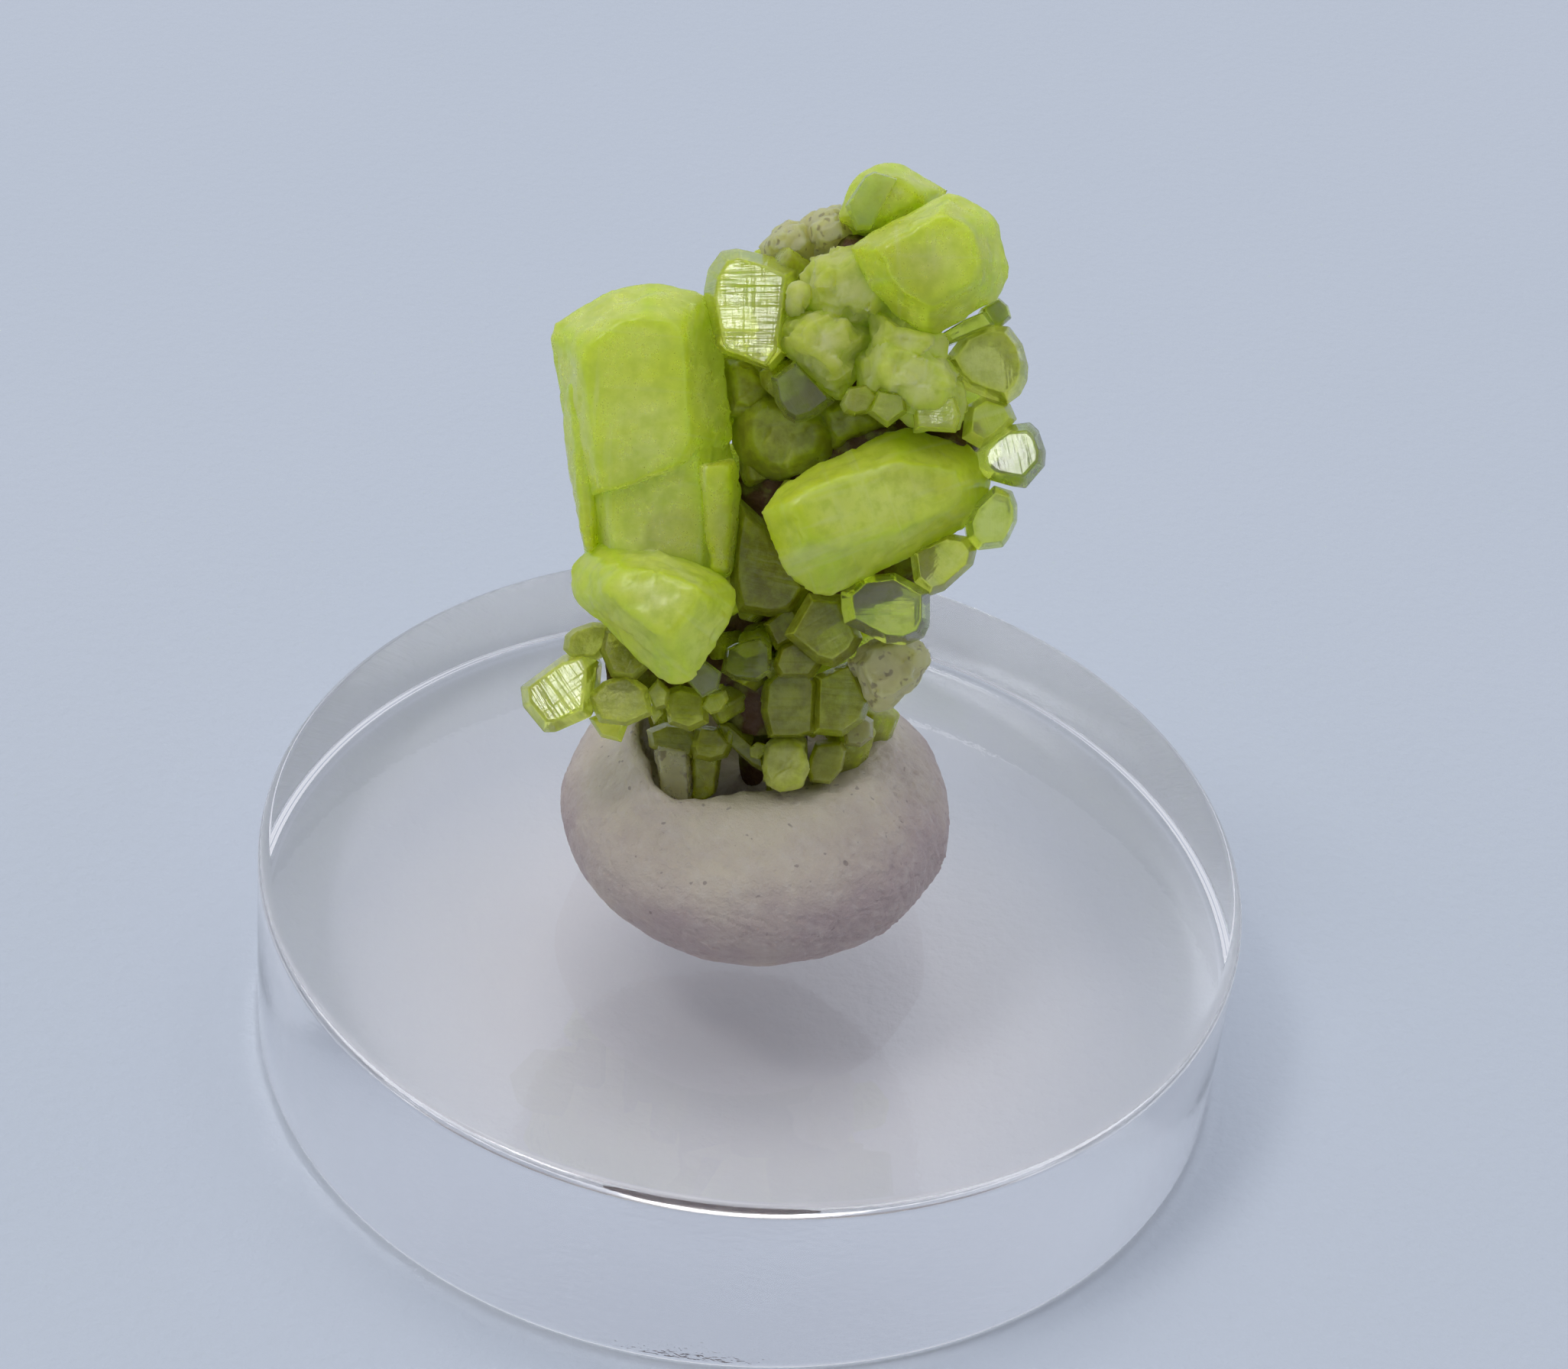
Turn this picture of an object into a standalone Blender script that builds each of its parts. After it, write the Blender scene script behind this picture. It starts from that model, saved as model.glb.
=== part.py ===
"""A cluster of stout six-sided crystals, pressed into a ball of putty on a thick clear disc.

Run with: blender --background --python part.py

World frame: +Z up, the origin at the centre of the disc's underside, -Y towards the display side.
Sizes below are millimetres and MM turns them into metres. The crystals are placed in the frame of
the cluster's display face: X to the right, Y up the face and Z out of it, towards whoever looks at it.
"""

import math
import random
from typing import NamedTuple

import bmesh
import bpy
from mathutils import Matrix, Vector

MM = 0.001
GAP = 0.3  # kept between pieces that touch

DISC_DIAMETER = 32.0
DISC_THICKNESS = 7.1
DISC_EDGE_ROUND = 0.4
DISC_SIDES = 80

PUTTY_WIDTH = 12.3
PUTTY_DEPTH = 12.8
PUTTY_HEIGHT = 6.8  # of the ball, before it is squashed flat below
PUTTY_CENTRE = (-0.1, -1.5, 10.2)
PUTTY_CREST = 36  # degrees from the top: where the ball's outside meets the crater's lip
PUTTY_RINGS = 12
PUTTY_SIDES = 40

CRATER_WIDTH = 6.4
CRATER_LENGTH = 5.6
CRATER_CENTRE = (-0.5, -1.3)
CRATER_FLOOR = 11.0
CRATER_WALL = ((0.5, 0.0), (0.85, 0.3), (0.97, 0.9), (1.03, 1.4))  # (share of the half-width, height)

FACE_ORIGIN = (0.0, -2.0, 12.0)  # where the display face meets the putty
FACE_RISE = 38.7  # degrees that the face's normal points above level
FACE_ROLL = 6.6  # degrees that the face leans to the right

RIM_SHARE = 0.13  # the bevel's height round a tip, as a share of the crystal's width
RIM_BEND = (0.35, 0.07)  # where the bevel bends: (share of its height below the end, narrowing there)
END_NARROWING = 0.2  # of the end face, as a share of the width
LEDGE_HEIGHT = 0.1
CORNER_UNEVEN = (0.95, 1.03)
CORNER_TURN = 5  # degrees that a corner strays from its place
END_SLOPE = 0.08
NEARLY_END_ON = 0.3
IMPRINT_REACH = 3.6  # crystals whose foot or tip is lower up the face than this press into the putty


class Crystal(NamedTuple):
    """A prism from foot to tip. turn spins it on its axis: at 0 a flat side faces the viewer."""

    name: str
    foot: tuple
    tip: tuple
    width: float
    depth: float = 0.92  # thickness from front to back, as a share of the width
    turn: float = 0.0
    ledges: tuple = ()  # (share of the length, share of the width from there on)
    sides: int = 6
    flare: float = 0.9  # the foot's width, as a share of the width
    front: float = 0.5  # the front side's width, as a share of the width: 0.5 makes all six sides equal


# The stout milky crystals that make the cluster's outline
STOUT = (
    Crystal("left_column", (-2.75, 5.7, 4.0), (-3.65, 14.0, 6.0), 4.8, 0.94, 6, front=0.6),
    Crystal("left_sleeve", (-3.3, 10.1, 5.3), (-3.75, 14.35, 6.3), 5.25, 0.94, 6, flare=0.95, front=0.6),
    Crystal("left_column_right_rib", (-0.95, 6.2, 4.6), (-1.5, 10.3, 5.4), 1.9, 0.9, 0),
    Crystal("left_column_left_rib", (-4.7, 6.9, 4.6), (-5.3, 13.0, 5.9), 1.5, 0.9, 12),
    Crystal("left_prism", (-4.6, 6.3, 4.8), (-1.9, 4.2, 8.0), 3.7, 0.9, 14, ((0.6, 0.96),)),
    Crystal("right_prism", (5.3, 9.0, 6.4), (0.6, 7.2, 9.2), 3.8, 0.96, 6, ((0.25, 1.03),)),
    Crystal("top_prism", (3.6, 13.9, 7.0), (5.4, 14.75, 10.8), 4.9, 0.95, 20),
    Crystal("top_behind", (3.1, 15.1, 6.0), (4.35, 17.6, 7.4), 2.7, 0.95, 10),
    Crystal("middle_mass", (4.1, 11.2, 7.4), (1.1, 12.7, 9.0), 2.9, 0.9, 0),
    Crystal("middle_upper", (4.6, 13.3, 7.2), (2.0, 13.9, 9.2), 2.6, 0.9, 18),
    Crystal("middle_lower", (4.3, 13.0, 7.6), (4.8, 10.3, 9.0), 2.2, 0.9, 8),
)

# The smaller prisms of the display face, from the top down
PRISMS = (
    Crystal("pale_top_left", (2.0, 15.2, 5.2), (0.5, 16.3, 6.0), 1.9, 0.8, 10),
    Crystal("pale_top_right", (2.5, 15.2, 5.4), (1.9, 16.9, 6.0), 1.8, 0.8, 25),
    Crystal("top_left_blade", (2.4, 15.8, 6.1), (3.2, 17.7, 7.2), 1.2, 0.9, 15),
    Crystal("bright_stub", (-0.25, 12.3, 6.2), (-0.4, 15.5, 7.2), 2.6, 0.95, 12, flare=0.97),
    Crystal("middle_knob", (2.5, 14.5, 7.6), (1.1, 14.1, 8.8), 1.3),
    Crystal("glass_prism", (2.0, 11.8, 6.8), (0.5, 11.1, 8.2), 1.5, 0.95, 10),
    Crystal("lower_tooth_right", (4.4, 11.9, 8.2), (3.7, 10.5, 9.2), 1.2),
    Crystal("lower_tooth_left", (3.8, 12.3, 8.0), (2.8, 10.9, 9.0), 1.1, 0.9, 20),
    Crystal("right_finger", (5.8, 13.0, 6.8), (7.2, 13.8, 8.0), 0.9),
    Crystal("right_finger_low", (5.6, 12.6, 7.2), (6.9, 13.2, 8.2), 0.8, 0.9, 25),
    Crystal("right_block", (5.5, 12.0, 6.4), (7.3, 12.2, 7.6), 2.2, 0.9, 12),
    Crystal("right_wedge", (5.8, 10.3, 6.1), (7.3, 10.7, 7.0), 1.5, 0.9, 30),
    Crystal("right_trumpet", (6.3, 9.3, 6.5), (8.2, 9.7, 7.6), 1.95, 0.95, 8, flare=0.7),
    Crystal("right_low_block", (5.8, 8.1, 6.3), (7.4, 7.5, 7.0), 1.7, 0.95, 16),
    Crystal("right_tooth", (5.4, 7.5, 6.4), (6.2, 6.5, 7.4), 1.3),
    Crystal("right_foot_tooth", (4.5, 7.2, 6.0), (5.4, 5.9, 6.8), 1.5, 0.9, 22),
    Crystal("right_square_block", (3.9, 6.2, 4.8), (3.7, 4.6, 7.4), 2.5, 0.9, 6),
    Crystal("deep_plate", (0.1, 7.4, 2.6), (0.8, 11.0, 4.8), 3.0, 0.9, 5),
    Crystal("deep_plate_right", (1.7, 8.3, 3.2), (2.1, 10.5, 4.6), 2.1, 0.9, 18),
    Crystal("deep_block", (0.3, 7.4, 2.6), (0.3, 4.9, 4.6), 2.2, 0.9, 10),
    Crystal("centre_block", (1.6, 5.8, 3.2), (2.0, 4.1, 5.4), 2.2, 0.9, 24),
    Crystal("speckled_block", (2.6, 3.9, 2.2), (4.3, 3.2, 4.6), 2.4, 0.95, 12),
    Crystal("right_slab", (2.0, 3.9, 2.2), (2.8, 2.2, 3.4), 1.5, 0.9, 16),
    Crystal("left_far_prism", (-4.9, 3.5, 3.2), (-6.6, 1.8, 4.5), 1.9, 0.95, 6),
    Crystal("left_spotted_prism", (-4.0, 3.0, 2.8), (-4.25, 2.0, 4.8), 1.9, 0.8, 14),
    Crystal("left_spike", (-4.2, 2.5, 2.8), (-4.3, 1.3, 3.8), 0.9),
    Crystal("left_upper_lump", (-3.9, 3.2, 3.2), (-4.9, 4.3, 4.2), 1.3, 0.95, 20),
    Crystal("left_inner_lump", (-3.4, 2.6, 3.0), (-3.5, 4.0, 4.4), 1.4, 0.95, 10),
    Crystal("under_left_prism", (-2.8, 3.1, 3.0), (-2.4, 1.8, 4.4), 1.8, 0.95, 5),
    Crystal("small_green_tip", (-2.0, 2.2, 3.8), (-1.0, 2.3, 4.8), 0.7),
    Crystal("small_glass_tip", (-2.3, 3.5, 4.0), (-1.75, 2.95, 5.8), 1.15, 0.95, 15),
    Crystal("bright_elbow", (-1.1, 3.4, 3.4), (0.2, 3.6, 4.8), 1.3, 0.9, 5),
    Crystal("upright_prism", (1.1, 0.5, 1.2), (0.9, 2.8, 3.4), 1.8, 0.9, 4),
    Crystal("round_ended_prism", (0.9, 1.4, 0.8), (0.75, 0.35, 2.9), 1.5, 1.2, 10),
    Crystal("clear_ended_prism", (1.9, 1.5, 0.6), (2.15, 0.45, 2.4), 1.5, 0.95, 20),
    Crystal("right_stump", (2.1, 1.7, 0.4), (2.8, 1.2, 1.6), 1.1),
    Crystal("slanting_splint", (0.1, 0.1, 0.8), (-1.3, 1.5, 2.4), 0.6, 0.7),
    Crystal("foot_column", (-2.3, -1.1, -0.6), (-2.3, 1.0, 1.8), 1.9, 0.85, 4),
    Crystal("foot_knob", (-1.5, 2.1, 1.0), (-1.6, 1.3, 2.7), 1.3, 0.9, 20),
)

# The back of the cluster, which grew in the same way
BACK = (
    Crystal("back_column", (0.9, 6.0, 2.0), (2.2, 13.2, 0.6), 3.8, 0.92, 10, ((0.55, 0.94),)),
    Crystal("back_left_prism", (-1.8, 6.8, 2.6), (-4.2, 10.4, 1.0), 3.0, 0.92, 20),
    Crystal("back_top_prism", (3.0, 13.4, 5.2), (4.3, 17.2, 3.6), 2.9, 0.92, 5),
    Crystal("back_top_left", (1.8, 13.0, 4.8), (0.2, 15.8, 3.4), 2.2, 0.92, 15),
    Crystal("back_right_prism", (3.8, 9.2, 4.2), (7.0, 11.4, 3.0), 2.6, 0.92, 12),
    Crystal("back_middle", (0.0, 5.4, 1.6), (-1.6, 8.6, -1.2), 2.9, 0.92, 25),
    Crystal("back_right_low", (2.2, 5.2, 2.4), (4.6, 7.6, 0.6), 2.5, 0.92, 8),
    Crystal("back_foot_left", (-0.8, 2.8, 1.0), (-3.0, 5.2, -0.6), 2.1, 0.92, 16),
    Crystal("back_foot", (0.6, 2.6, 0.6), (0.9, 4.6, -1.6), 2.3, 0.92, 12),
    Crystal("back_foot_right", (1.5, 2.4, 1.0), (3.4, 4.2, 0.0), 1.8, 0.92, 22),
)

# The matrix that everything grows from: a leaning stem, with a shoulder to each side
STEM = (
    Crystal("stem_foot", (0.3, -1.3, -1.9), (0.2, 3.2, 1.4), 3.3, 0.85, sides=8),
    Crystal("stem_low", (0.1, 1.6, 0.9), (0.2, 8.0, 3.2), 4.3, 0.8, 10, sides=8),
    Crystal("stem_high", (0.2, 6.6, 2.8), (1.9, 13.6, 5.4), 4.6, 0.8, 5, sides=8),
    Crystal("stem_top", (1.8, 11.6, 4.8), (3.8, 15.6, 6.9), 4.4, 0.8, 15, sides=8),
    Crystal("shoulder_left", (-0.5, 3.6, 1.8), (-4.6, 3.2, 3.4), 2.2, 0.85, 10),
    Crystal("shoulder_column", (-0.4, 7.4, 3.0), (-3.2, 6.8, 4.6), 3.4, 0.8, 12),
    Crystal("shoulder_right", (1.6, 10.2, 4.4), (6.2, 9.4, 6.0), 3.4, 0.9, 8),
    Crystal("shoulder_right_low", (0.8, 5.2, 2.4), (4.6, 7.0, 5.4), 2.8, 0.9, 14),
)

# A scatter of small prisms fills the gaps on the back, in rows that climb the stem
STEM_START = (0.1, 0.3)  # the stem's middle at the foot of the face: to the right, and out of it
STEM_LEAN = 0.42  # how much it comes out of the face for each millimetre up
STEM_DRIFT = 0.19  # how much it goes to the right, above STEM_BEND
STEM_BEND = 5.0
SCATTER_SEED = 7
SCATTER_ARC = (190, 350)  # degrees round the stem, with the display side at 90
SCATTER_ROWS = 6
SCATTER_PER_ROW = 5
SCATTER_LOW = 3.4
SCATTER_STEP = 2.0
SCATTER_ROOT = 0.8
SCATTER_REACH = 3.3
SCATTER_LIFT = (0.3, 0.9)
SCATTER_WIDTH = (0.9, 1.7)


def face_matrix():
    """From the display face's frame to the world, both in millimetres."""
    stand_up = Matrix.Rotation(math.radians(90.0 - FACE_RISE), 4, "X")
    roll = Matrix.Rotation(math.radians(FACE_ROLL), 4, "Z")
    return Matrix.Translation(FACE_ORIGIN) @ stand_up @ roll


def stem_point(height):
    """The middle of the stem at a height up the display face."""
    right, out = STEM_START
    return Vector((right + STEM_DRIFT * max(0.0, height - STEM_BEND), height, out + STEM_LEAN * height))


def scatter():
    """Small prisms that stand out of the stem's back and sides."""
    chance = random.Random(SCATTER_SEED)
    low, high = SCATTER_ARC
    made = []
    for row in range(SCATTER_ROWS):
        for place in range(SCATTER_PER_ROW):
            share = (place + 0.5 * (row % 2)) / SCATTER_PER_ROW
            round_by = math.radians(low + (high - low) * share)
            height = SCATTER_LOW + SCATTER_STEP * row + chance.uniform(-0.5, 0.5)
            start = stem_point(height)
            lift = chance.uniform(*SCATTER_LIFT)
            out = Vector((math.cos(round_by), lift, math.sin(round_by))).normalized()
            reach = SCATTER_REACH * chance.uniform(0.85, 1.15)
            made.append(
                Crystal(
                    f"scatter_{row}_{place}",
                    tuple(start + SCATTER_ROOT * out),
                    tuple(start + reach * out),
                    chance.uniform(*SCATTER_WIDTH),
                    chance.uniform(0.8, 1.0),
                    chance.uniform(0, 60),
                )
            )
    return made


def outline(crystal, chance):
    """The corners of a crystal's cross-section, uneven as grown ones are, about an axis along Z."""
    corners = []
    for i in range(crystal.sides):
        angle = 2 * math.pi * (i + 0.5) / crystal.sides
        across = math.sin(angle)
        if crystal.sides == 6 and i not in (1, 4):
            across *= 2 * crystal.front
        out = math.cos(angle) * crystal.depth
        corner = Vector((across, out, 0.0)) * (crystal.width / 2 * chance.uniform(*CORNER_UNEVEN))
        turn = math.radians(crystal.turn + chance.uniform(-CORNER_TURN, CORNER_TURN))
        corners.append(Matrix.Rotation(turn, 3, "Z") @ corner)
    return corners


def axis_frame(crystal):
    """Turns Z into the crystal's axis and Y into the side that faces the viewer."""
    along = (Vector(crystal.tip) - Vector(crystal.foot)).normalized()
    front = Vector((0, 0, 1)) - along.z * along
    if front.length < NEARLY_END_ON:
        front = Vector((0, 1, 0)) - along.y * along
    front.normalize()
    right = front.cross(along)
    turned = Matrix((right, front, along)).transposed().to_4x4()
    return Matrix.Translation(crystal.foot) @ turned


def crystal_rings(crystal):
    """(height, share of the width) of each ring of corners, from foot to tip."""
    length = (Vector(crystal.tip) - Vector(crystal.foot)).length
    rim = RIM_SHARE * crystal.width
    rings = [(0.0, crystal.flare)]
    size = 1.0
    for at, share in crystal.ledges:
        rings += [(at * length - LEDGE_HEIGHT, size), (at * length, share)]
        size = share
    bend, narrowing = RIM_BEND
    rings += [(length - rim, size), (length - bend * rim, size - narrowing), (length, size - END_NARROWING)]
    return rings


def add_crystal(bm, crystal, place, grow=0.0):
    """Adds one closed prism to bm. grow pushes every face of it outward."""
    chance = random.Random(crystal.name)
    corners = outline(crystal, chance)
    slope = Vector((chance.uniform(-END_SLOPE, END_SLOPE), chance.uniform(-END_SLOPE, END_SLOPE), 0.0))
    frame = place @ axis_frame(crystal)
    rings = crystal_rings(crystal)
    levels = []
    for height, share in rings:
        height += grow if height > 0 else -grow
        lean = slope if height > rings[-1][0] * 0.8 else Vector()
        ring = []
        for corner in corners:
            flat = corner * share + corner.normalized() * grow
            point = frame @ Vector((flat.x, flat.y, height + flat.dot(lean)))
            ring.append(bm.verts.new(point * MM))
        levels.append(ring)
    for low, high in zip(levels, levels[1:]):
        for i in range(crystal.sides):
            j = (i + 1) % crystal.sides
            bm.faces.new((low[j], low[i], high[i], high[j]))
    bm.faces.new(levels[0])
    bm.faces.new(reversed(levels[-1]))


def mesh_object(name, bm):
    bmesh.ops.recalc_face_normals(bm, faces=bm.faces)
    mesh = bpy.data.meshes.new(name)
    bm.to_mesh(mesh)
    bm.free()
    obj = bpy.data.objects.new(name, mesh)
    bpy.context.scene.collection.objects.link(obj)
    return obj


def crystals_object(name, crystals, grow=0.0):
    """All the crystals in one mesh, still overlapping."""
    bm = bmesh.new()
    place = face_matrix()
    for crystal in crystals:
        add_crystal(bm, crystal, place, grow)
    return mesh_object(name, bm)


def combine(obj, operation, other):
    """A Boolean that also resolves what overlaps itself in either mesh."""
    modifier = obj.modifiers.new(operation.lower(), "BOOLEAN")
    modifier.operation = operation
    modifier.solver = "EXACT"
    modifier.use_self = True
    modifier.object = other
    other.hide_render = True
    other.display_type = "WIRE"


def material(name, colour, roughness, transmission=0.0):
    made = bpy.data.materials.new(name)
    made.use_nodes = True
    shader = made.node_tree.nodes["Principled BSDF"]
    shader.inputs["Base Color"].default_value = (*colour, 1.0)
    shader.inputs["Roughness"].default_value = roughness
    shader.inputs["Metallic"].default_value = 0.0
    shader.inputs["Transmission Weight"].default_value = transmission
    return made


def make_cluster():
    """The crystals and the matrix they grow from: one solid, as they grew together."""
    cluster = crystals_object("crystal_cluster", (*STOUT, *PRISMS, *BACK, *scatter()))
    stem = crystals_object("stem_helper", STEM)
    combine(cluster, "UNION", stem)
    cluster.data.materials.append(material("yellow_green_crystal", (0.52, 0.62, 0.12), 0.25, 0.5))
    return cluster


def putty_rings():
    """(centre x, centre y, half width, half depth, height) of each ring, from the crater to the foot."""
    rings = []
    for share, height in CRATER_WALL:
        rings.append(
            (*CRATER_CENTRE, share * CRATER_WIDTH / 2, share * CRATER_LENGTH / 2, CRATER_FLOOR + height)
        )
    ball_x, ball_y, ball_z = PUTTY_CENTRE
    crest = math.radians(PUTTY_CREST)
    foot = math.acos((DISC_THICKNESS + GAP - ball_z) / (PUTTY_HEIGHT / 2))
    for ring in range(PUTTY_RINGS):
        polar = crest + (foot - crest) * ring / (PUTTY_RINGS - 1)
        shift = max(0.0, math.cos(polar))  # the lip follows the crater, and the belly the ball
        rings.append(
            (
                ball_x + shift * (CRATER_CENTRE[0] - ball_x),
                ball_y + shift * (CRATER_CENTRE[1] - ball_y),
                math.sin(polar) * PUTTY_WIDTH / 2,
                math.sin(polar) * PUTTY_DEPTH / 2,
                ball_z + math.cos(polar) * PUTTY_HEIGHT / 2,
            )
        )
    return rings


def make_putty(pressed_in):
    """A squashed ball with a crater in its top, which takes the print of the crystals pressed into it."""
    bm = bmesh.new()
    levels = []
    for x, y, half_width, half_depth, height in putty_rings():
        level = []
        for side in range(PUTTY_SIDES):
            angle = 2 * math.pi * side / PUTTY_SIDES
            point = Vector((x + half_width * math.cos(angle), y + half_depth * math.sin(angle), height))
            level.append(bm.verts.new(point * MM))
        levels.append(level)
    for high, low in zip(levels, levels[1:]):
        for i in range(PUTTY_SIDES):
            j = (i + 1) % PUTTY_SIDES
            bm.faces.new((high[i], low[i], low[j], high[j]))
    bm.faces.new(levels[0])
    bm.faces.new(reversed(levels[-1]))
    putty = mesh_object("putty_ball", bm)
    combine(putty, "DIFFERENCE", pressed_in)
    putty.data.materials.append(material("pale_putty", (0.62, 0.54, 0.51), 0.75))
    return putty


def make_disc():
    bm = bmesh.new()
    bmesh.ops.create_cone(
        bm,
        cap_ends=True,
        segments=DISC_SIDES,
        radius1=DISC_DIAMETER / 2 * MM,
        radius2=DISC_DIAMETER / 2 * MM,
        depth=DISC_THICKNESS * MM,
        matrix=Matrix.Translation((0, 0, DISC_THICKNESS / 2 * MM)),
    )
    disc = mesh_object("clear_disc", bm)
    bevel = disc.modifiers.new("rounded_edge", "BEVEL")
    bevel.width = DISC_EDGE_ROUND * MM
    bevel.segments = 2
    bevel.limit_method = "ANGLE"
    bevel.angle_limit = math.radians(40)
    disc.data.materials.append(material("clear_acrylic", (0.95, 0.97, 1.0), 0.03, 1.0))
    return disc


def near_putty(crystal):
    return min(crystal.foot[1], crystal.tip[1]) < IMPRINT_REACH


def main():
    for obj in list(bpy.data.objects):
        bpy.data.objects.remove(obj)
    make_cluster()
    low = [c for c in (*STOUT, *PRISMS, *BACK, *STEM, *scatter()) if near_putty(c)]
    pressed_in = crystals_object("imprint_helper", low, GAP)
    make_putty(pressed_in)
    make_disc()


main()
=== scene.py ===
"""The looks of a mineral specimen: yellow-green crystals in a ball of putty on a clear disc.

World frame: +Z up, the origin at the centre of the disc's underside, -Y towards the display side.
Sizes below are millimetres and MM turns them into metres. The crystals are placed in the frame of
the cluster's display face: X to the right, Y up the face and Z out of it, towards whoever looks at it.
"""

import math
import random
from typing import NamedTuple

import bmesh
import bpy
from mathutils import Matrix, Vector, kdtree, noise


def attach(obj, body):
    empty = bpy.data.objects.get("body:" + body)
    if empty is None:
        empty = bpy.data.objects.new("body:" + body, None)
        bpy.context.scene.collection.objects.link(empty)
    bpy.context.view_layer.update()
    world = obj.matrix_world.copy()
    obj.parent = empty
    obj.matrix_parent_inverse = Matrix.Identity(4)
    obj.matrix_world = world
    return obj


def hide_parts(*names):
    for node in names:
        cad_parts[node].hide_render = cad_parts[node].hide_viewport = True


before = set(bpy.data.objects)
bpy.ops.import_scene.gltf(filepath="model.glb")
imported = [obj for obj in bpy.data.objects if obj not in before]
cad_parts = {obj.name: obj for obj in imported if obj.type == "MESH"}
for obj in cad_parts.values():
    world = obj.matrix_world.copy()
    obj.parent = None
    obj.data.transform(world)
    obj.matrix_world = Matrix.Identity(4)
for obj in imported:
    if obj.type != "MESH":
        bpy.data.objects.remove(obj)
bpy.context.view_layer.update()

MM = 0.001

DISC_DIAMETER = 32.0
DISC_THICKNESS = 7.1
DISC_EDGE_ROUND = 0.4
DISC_SIDES = 288
DISC_ROUND_STEPS = 8
DISC_WELD = 0.001  # points closer than this are one

PUTTY_WIDTH = 12.3
PUTTY_DEPTH = 12.8
PUTTY_HEIGHT = 6.8  # of the ball, before it is squashed flat below
PUTTY_CENTRE = (-0.1, -1.5, 10.2)
PUTTY_CREST = 13.0  # the height of the roll round the crater
PUTTY_CREST_SHARE = 0.42  # how far the roll's top is from the lip to the shoulder
PUTTY_SHOULDER = 52  # degrees from the top: where the roll runs into the ball
PUTTY_SIDES = 360
PUTTY_RINGS = 150
PUTTY_OUTER_RINGS = 9
PUTTY_SHARP = 60  # degrees from which an edge is shaded as sharp
PUTTY_WELD = 0.002
PUTTY_LUMPS = (0.12, 0.06)  # broad ones and smaller ones
PUTTY_FOLD = 0.13
PUTTY_RIPPLE = 0.035
PUTTY_CREASE = 0.045
PUTTY_GRAIN = 0.02
CRATER_WIDTH = 6.4
CRATER_LENGTH = 5.6
CRATER_CENTRE = (-0.5, -1.3)
CRATER_FLOOR = 11.0
PUTTY_HUGS = math.radians(20)  # the side, from +X, where the putty is pushed up against the crystals
PUTTY_HUG_HEIGHT = 1.35
STAIN = (0.7, -3.9, 12.9)
CRATER_WALL = ((0.0, 0.0), (0.5, 0.0), (0.85, 0.35), (0.97, 1.0))  # (share of the lip's reach, height)

# The crater's lip: (degrees from +X, share of the crater's half-size, height)
LIP = (
    (-180, 1.12, 12.9),
    (-150, 1.13, 12.8),
    (-130, 1.26, 12.5),
    (-122, 1.28, 12.4),
    (-113, 1.12, 12.5),
    (-102, 0.96, 12.6),
    (-90, 0.87, 12.7),
    (-60, 0.84, 12.7),
    (-35, 0.96, 12.7),
    (-12, 1.02, 12.8),
    (8, 1.08, 12.8),
    (30, 1.25, 12.8),
    (90, 1.22, 12.9),
    (135, 1.15, 12.9),
    (180, 1.12, 12.9),
)

FACE_ORIGIN = (0.0, -2.0, 12.0)  # where the display face meets the putty
FACE_RISE = 38.7  # degrees that the face's normal points above level
FACE_ROLL = 6.6  # degrees that the face leans to the right

RIM_SHARE = 0.13  # the bevel's height round a tip, as a share of the crystal's width
END_NARROWING = 0.2  # of the end face, as a share of the width
LEDGE_HEIGHT = 0.1
CORNER_UNEVEN = (0.95, 1.03)
CORNER_TURN = 5  # degrees that a corner strays from its place
END_SLOPE = 0.08
END_SLOPE_START = 0.75  # share of the length from which the end slopes
END_SLOPE_RUN = 0.1
FOOT_FLARE = 0.9  # the foot's width, as a share of the width
RIM_LIFT = 0.8  # how far the bevel turns from sideways to endways
NEARLY_END_ON = 0.3

CORNER_ROUND = 0.05  # the arc at a prism's corner, as a share of the width
CORNER_STEPS = 3
RIM_STEPS = 5
END_RINGS = 7
END_DOME = 0.035  # the end's height in its middle, as a share of the width
POINT_STEP = 0.043  # between points, as a share of the width
POINT_STEP_RANGE = (0.11, 0.2)
EDGE_GLOW = 0.32  # how far the painted glow, a stronger colour for the light gathered at an edge, reaches from the edge
FLAT_ENOUGH = 4  # degrees between two sides that are one
EDGE_NEEDS = 14  # degrees between two sides that make an edge
EDGE_STEP = 0.08
INSETS = (0.07, 0.12)
CUT_SHARE = 0.018  # the rounding of a glassy crystal's edges, as a share of its size
CUT_RANGE = (0.02, 0.05)
SKIN_STEP = 0.03  # between a milky crystal's points, as a share of its size
SKIN_STEP_RANGE = (0.07, 0.13)
SOFTNESS = 2  # rounds of smoothing that a milky crystal gets
LEAN = 0.32  # the most that a face climbs by chance, for each millimetre across or up
SHARP = {"milky_crystals": 80, "small_crystals": 50}  # degrees from which an edge is shaded as sharp
SHARP_OTHERS = 38
CRUST_CELL = 0.75  # the small crystals in a frosted one's crust
CRUST_SLOPE = 0.55
PIT_DEPTH = 0.3
MILKY_SWELL = 0.06
MILKY_LUMPS = (0.015, 0.07)  # on every milky crystal, and what full frost adds
MILKY_PLATE = 0.03  # the height of a growth step
SMALL_SWELL = 0.035  # as a share of the width
SMALL_LUMPS = (0.03, 0.22)
SMALL_PLATE = 0.05
# painted glow: how far the stronger colour for the light gathered round an end's rim reaches in from it
RIM_GLOW = 0.5
END_REACH = 0.4  # of the paler middle of an end, as a share of the size

CAMERA_PLACE = (0.336, -93.545, 88.918)
CAMERA_RIGHT = (0.99343, 0.07149, 0.08933)
CAMERA_UP = (-0.11442, 0.62073, 0.77563)
CAMERA_LENS = 87.72
CAMERA_SENSOR = 36

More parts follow.
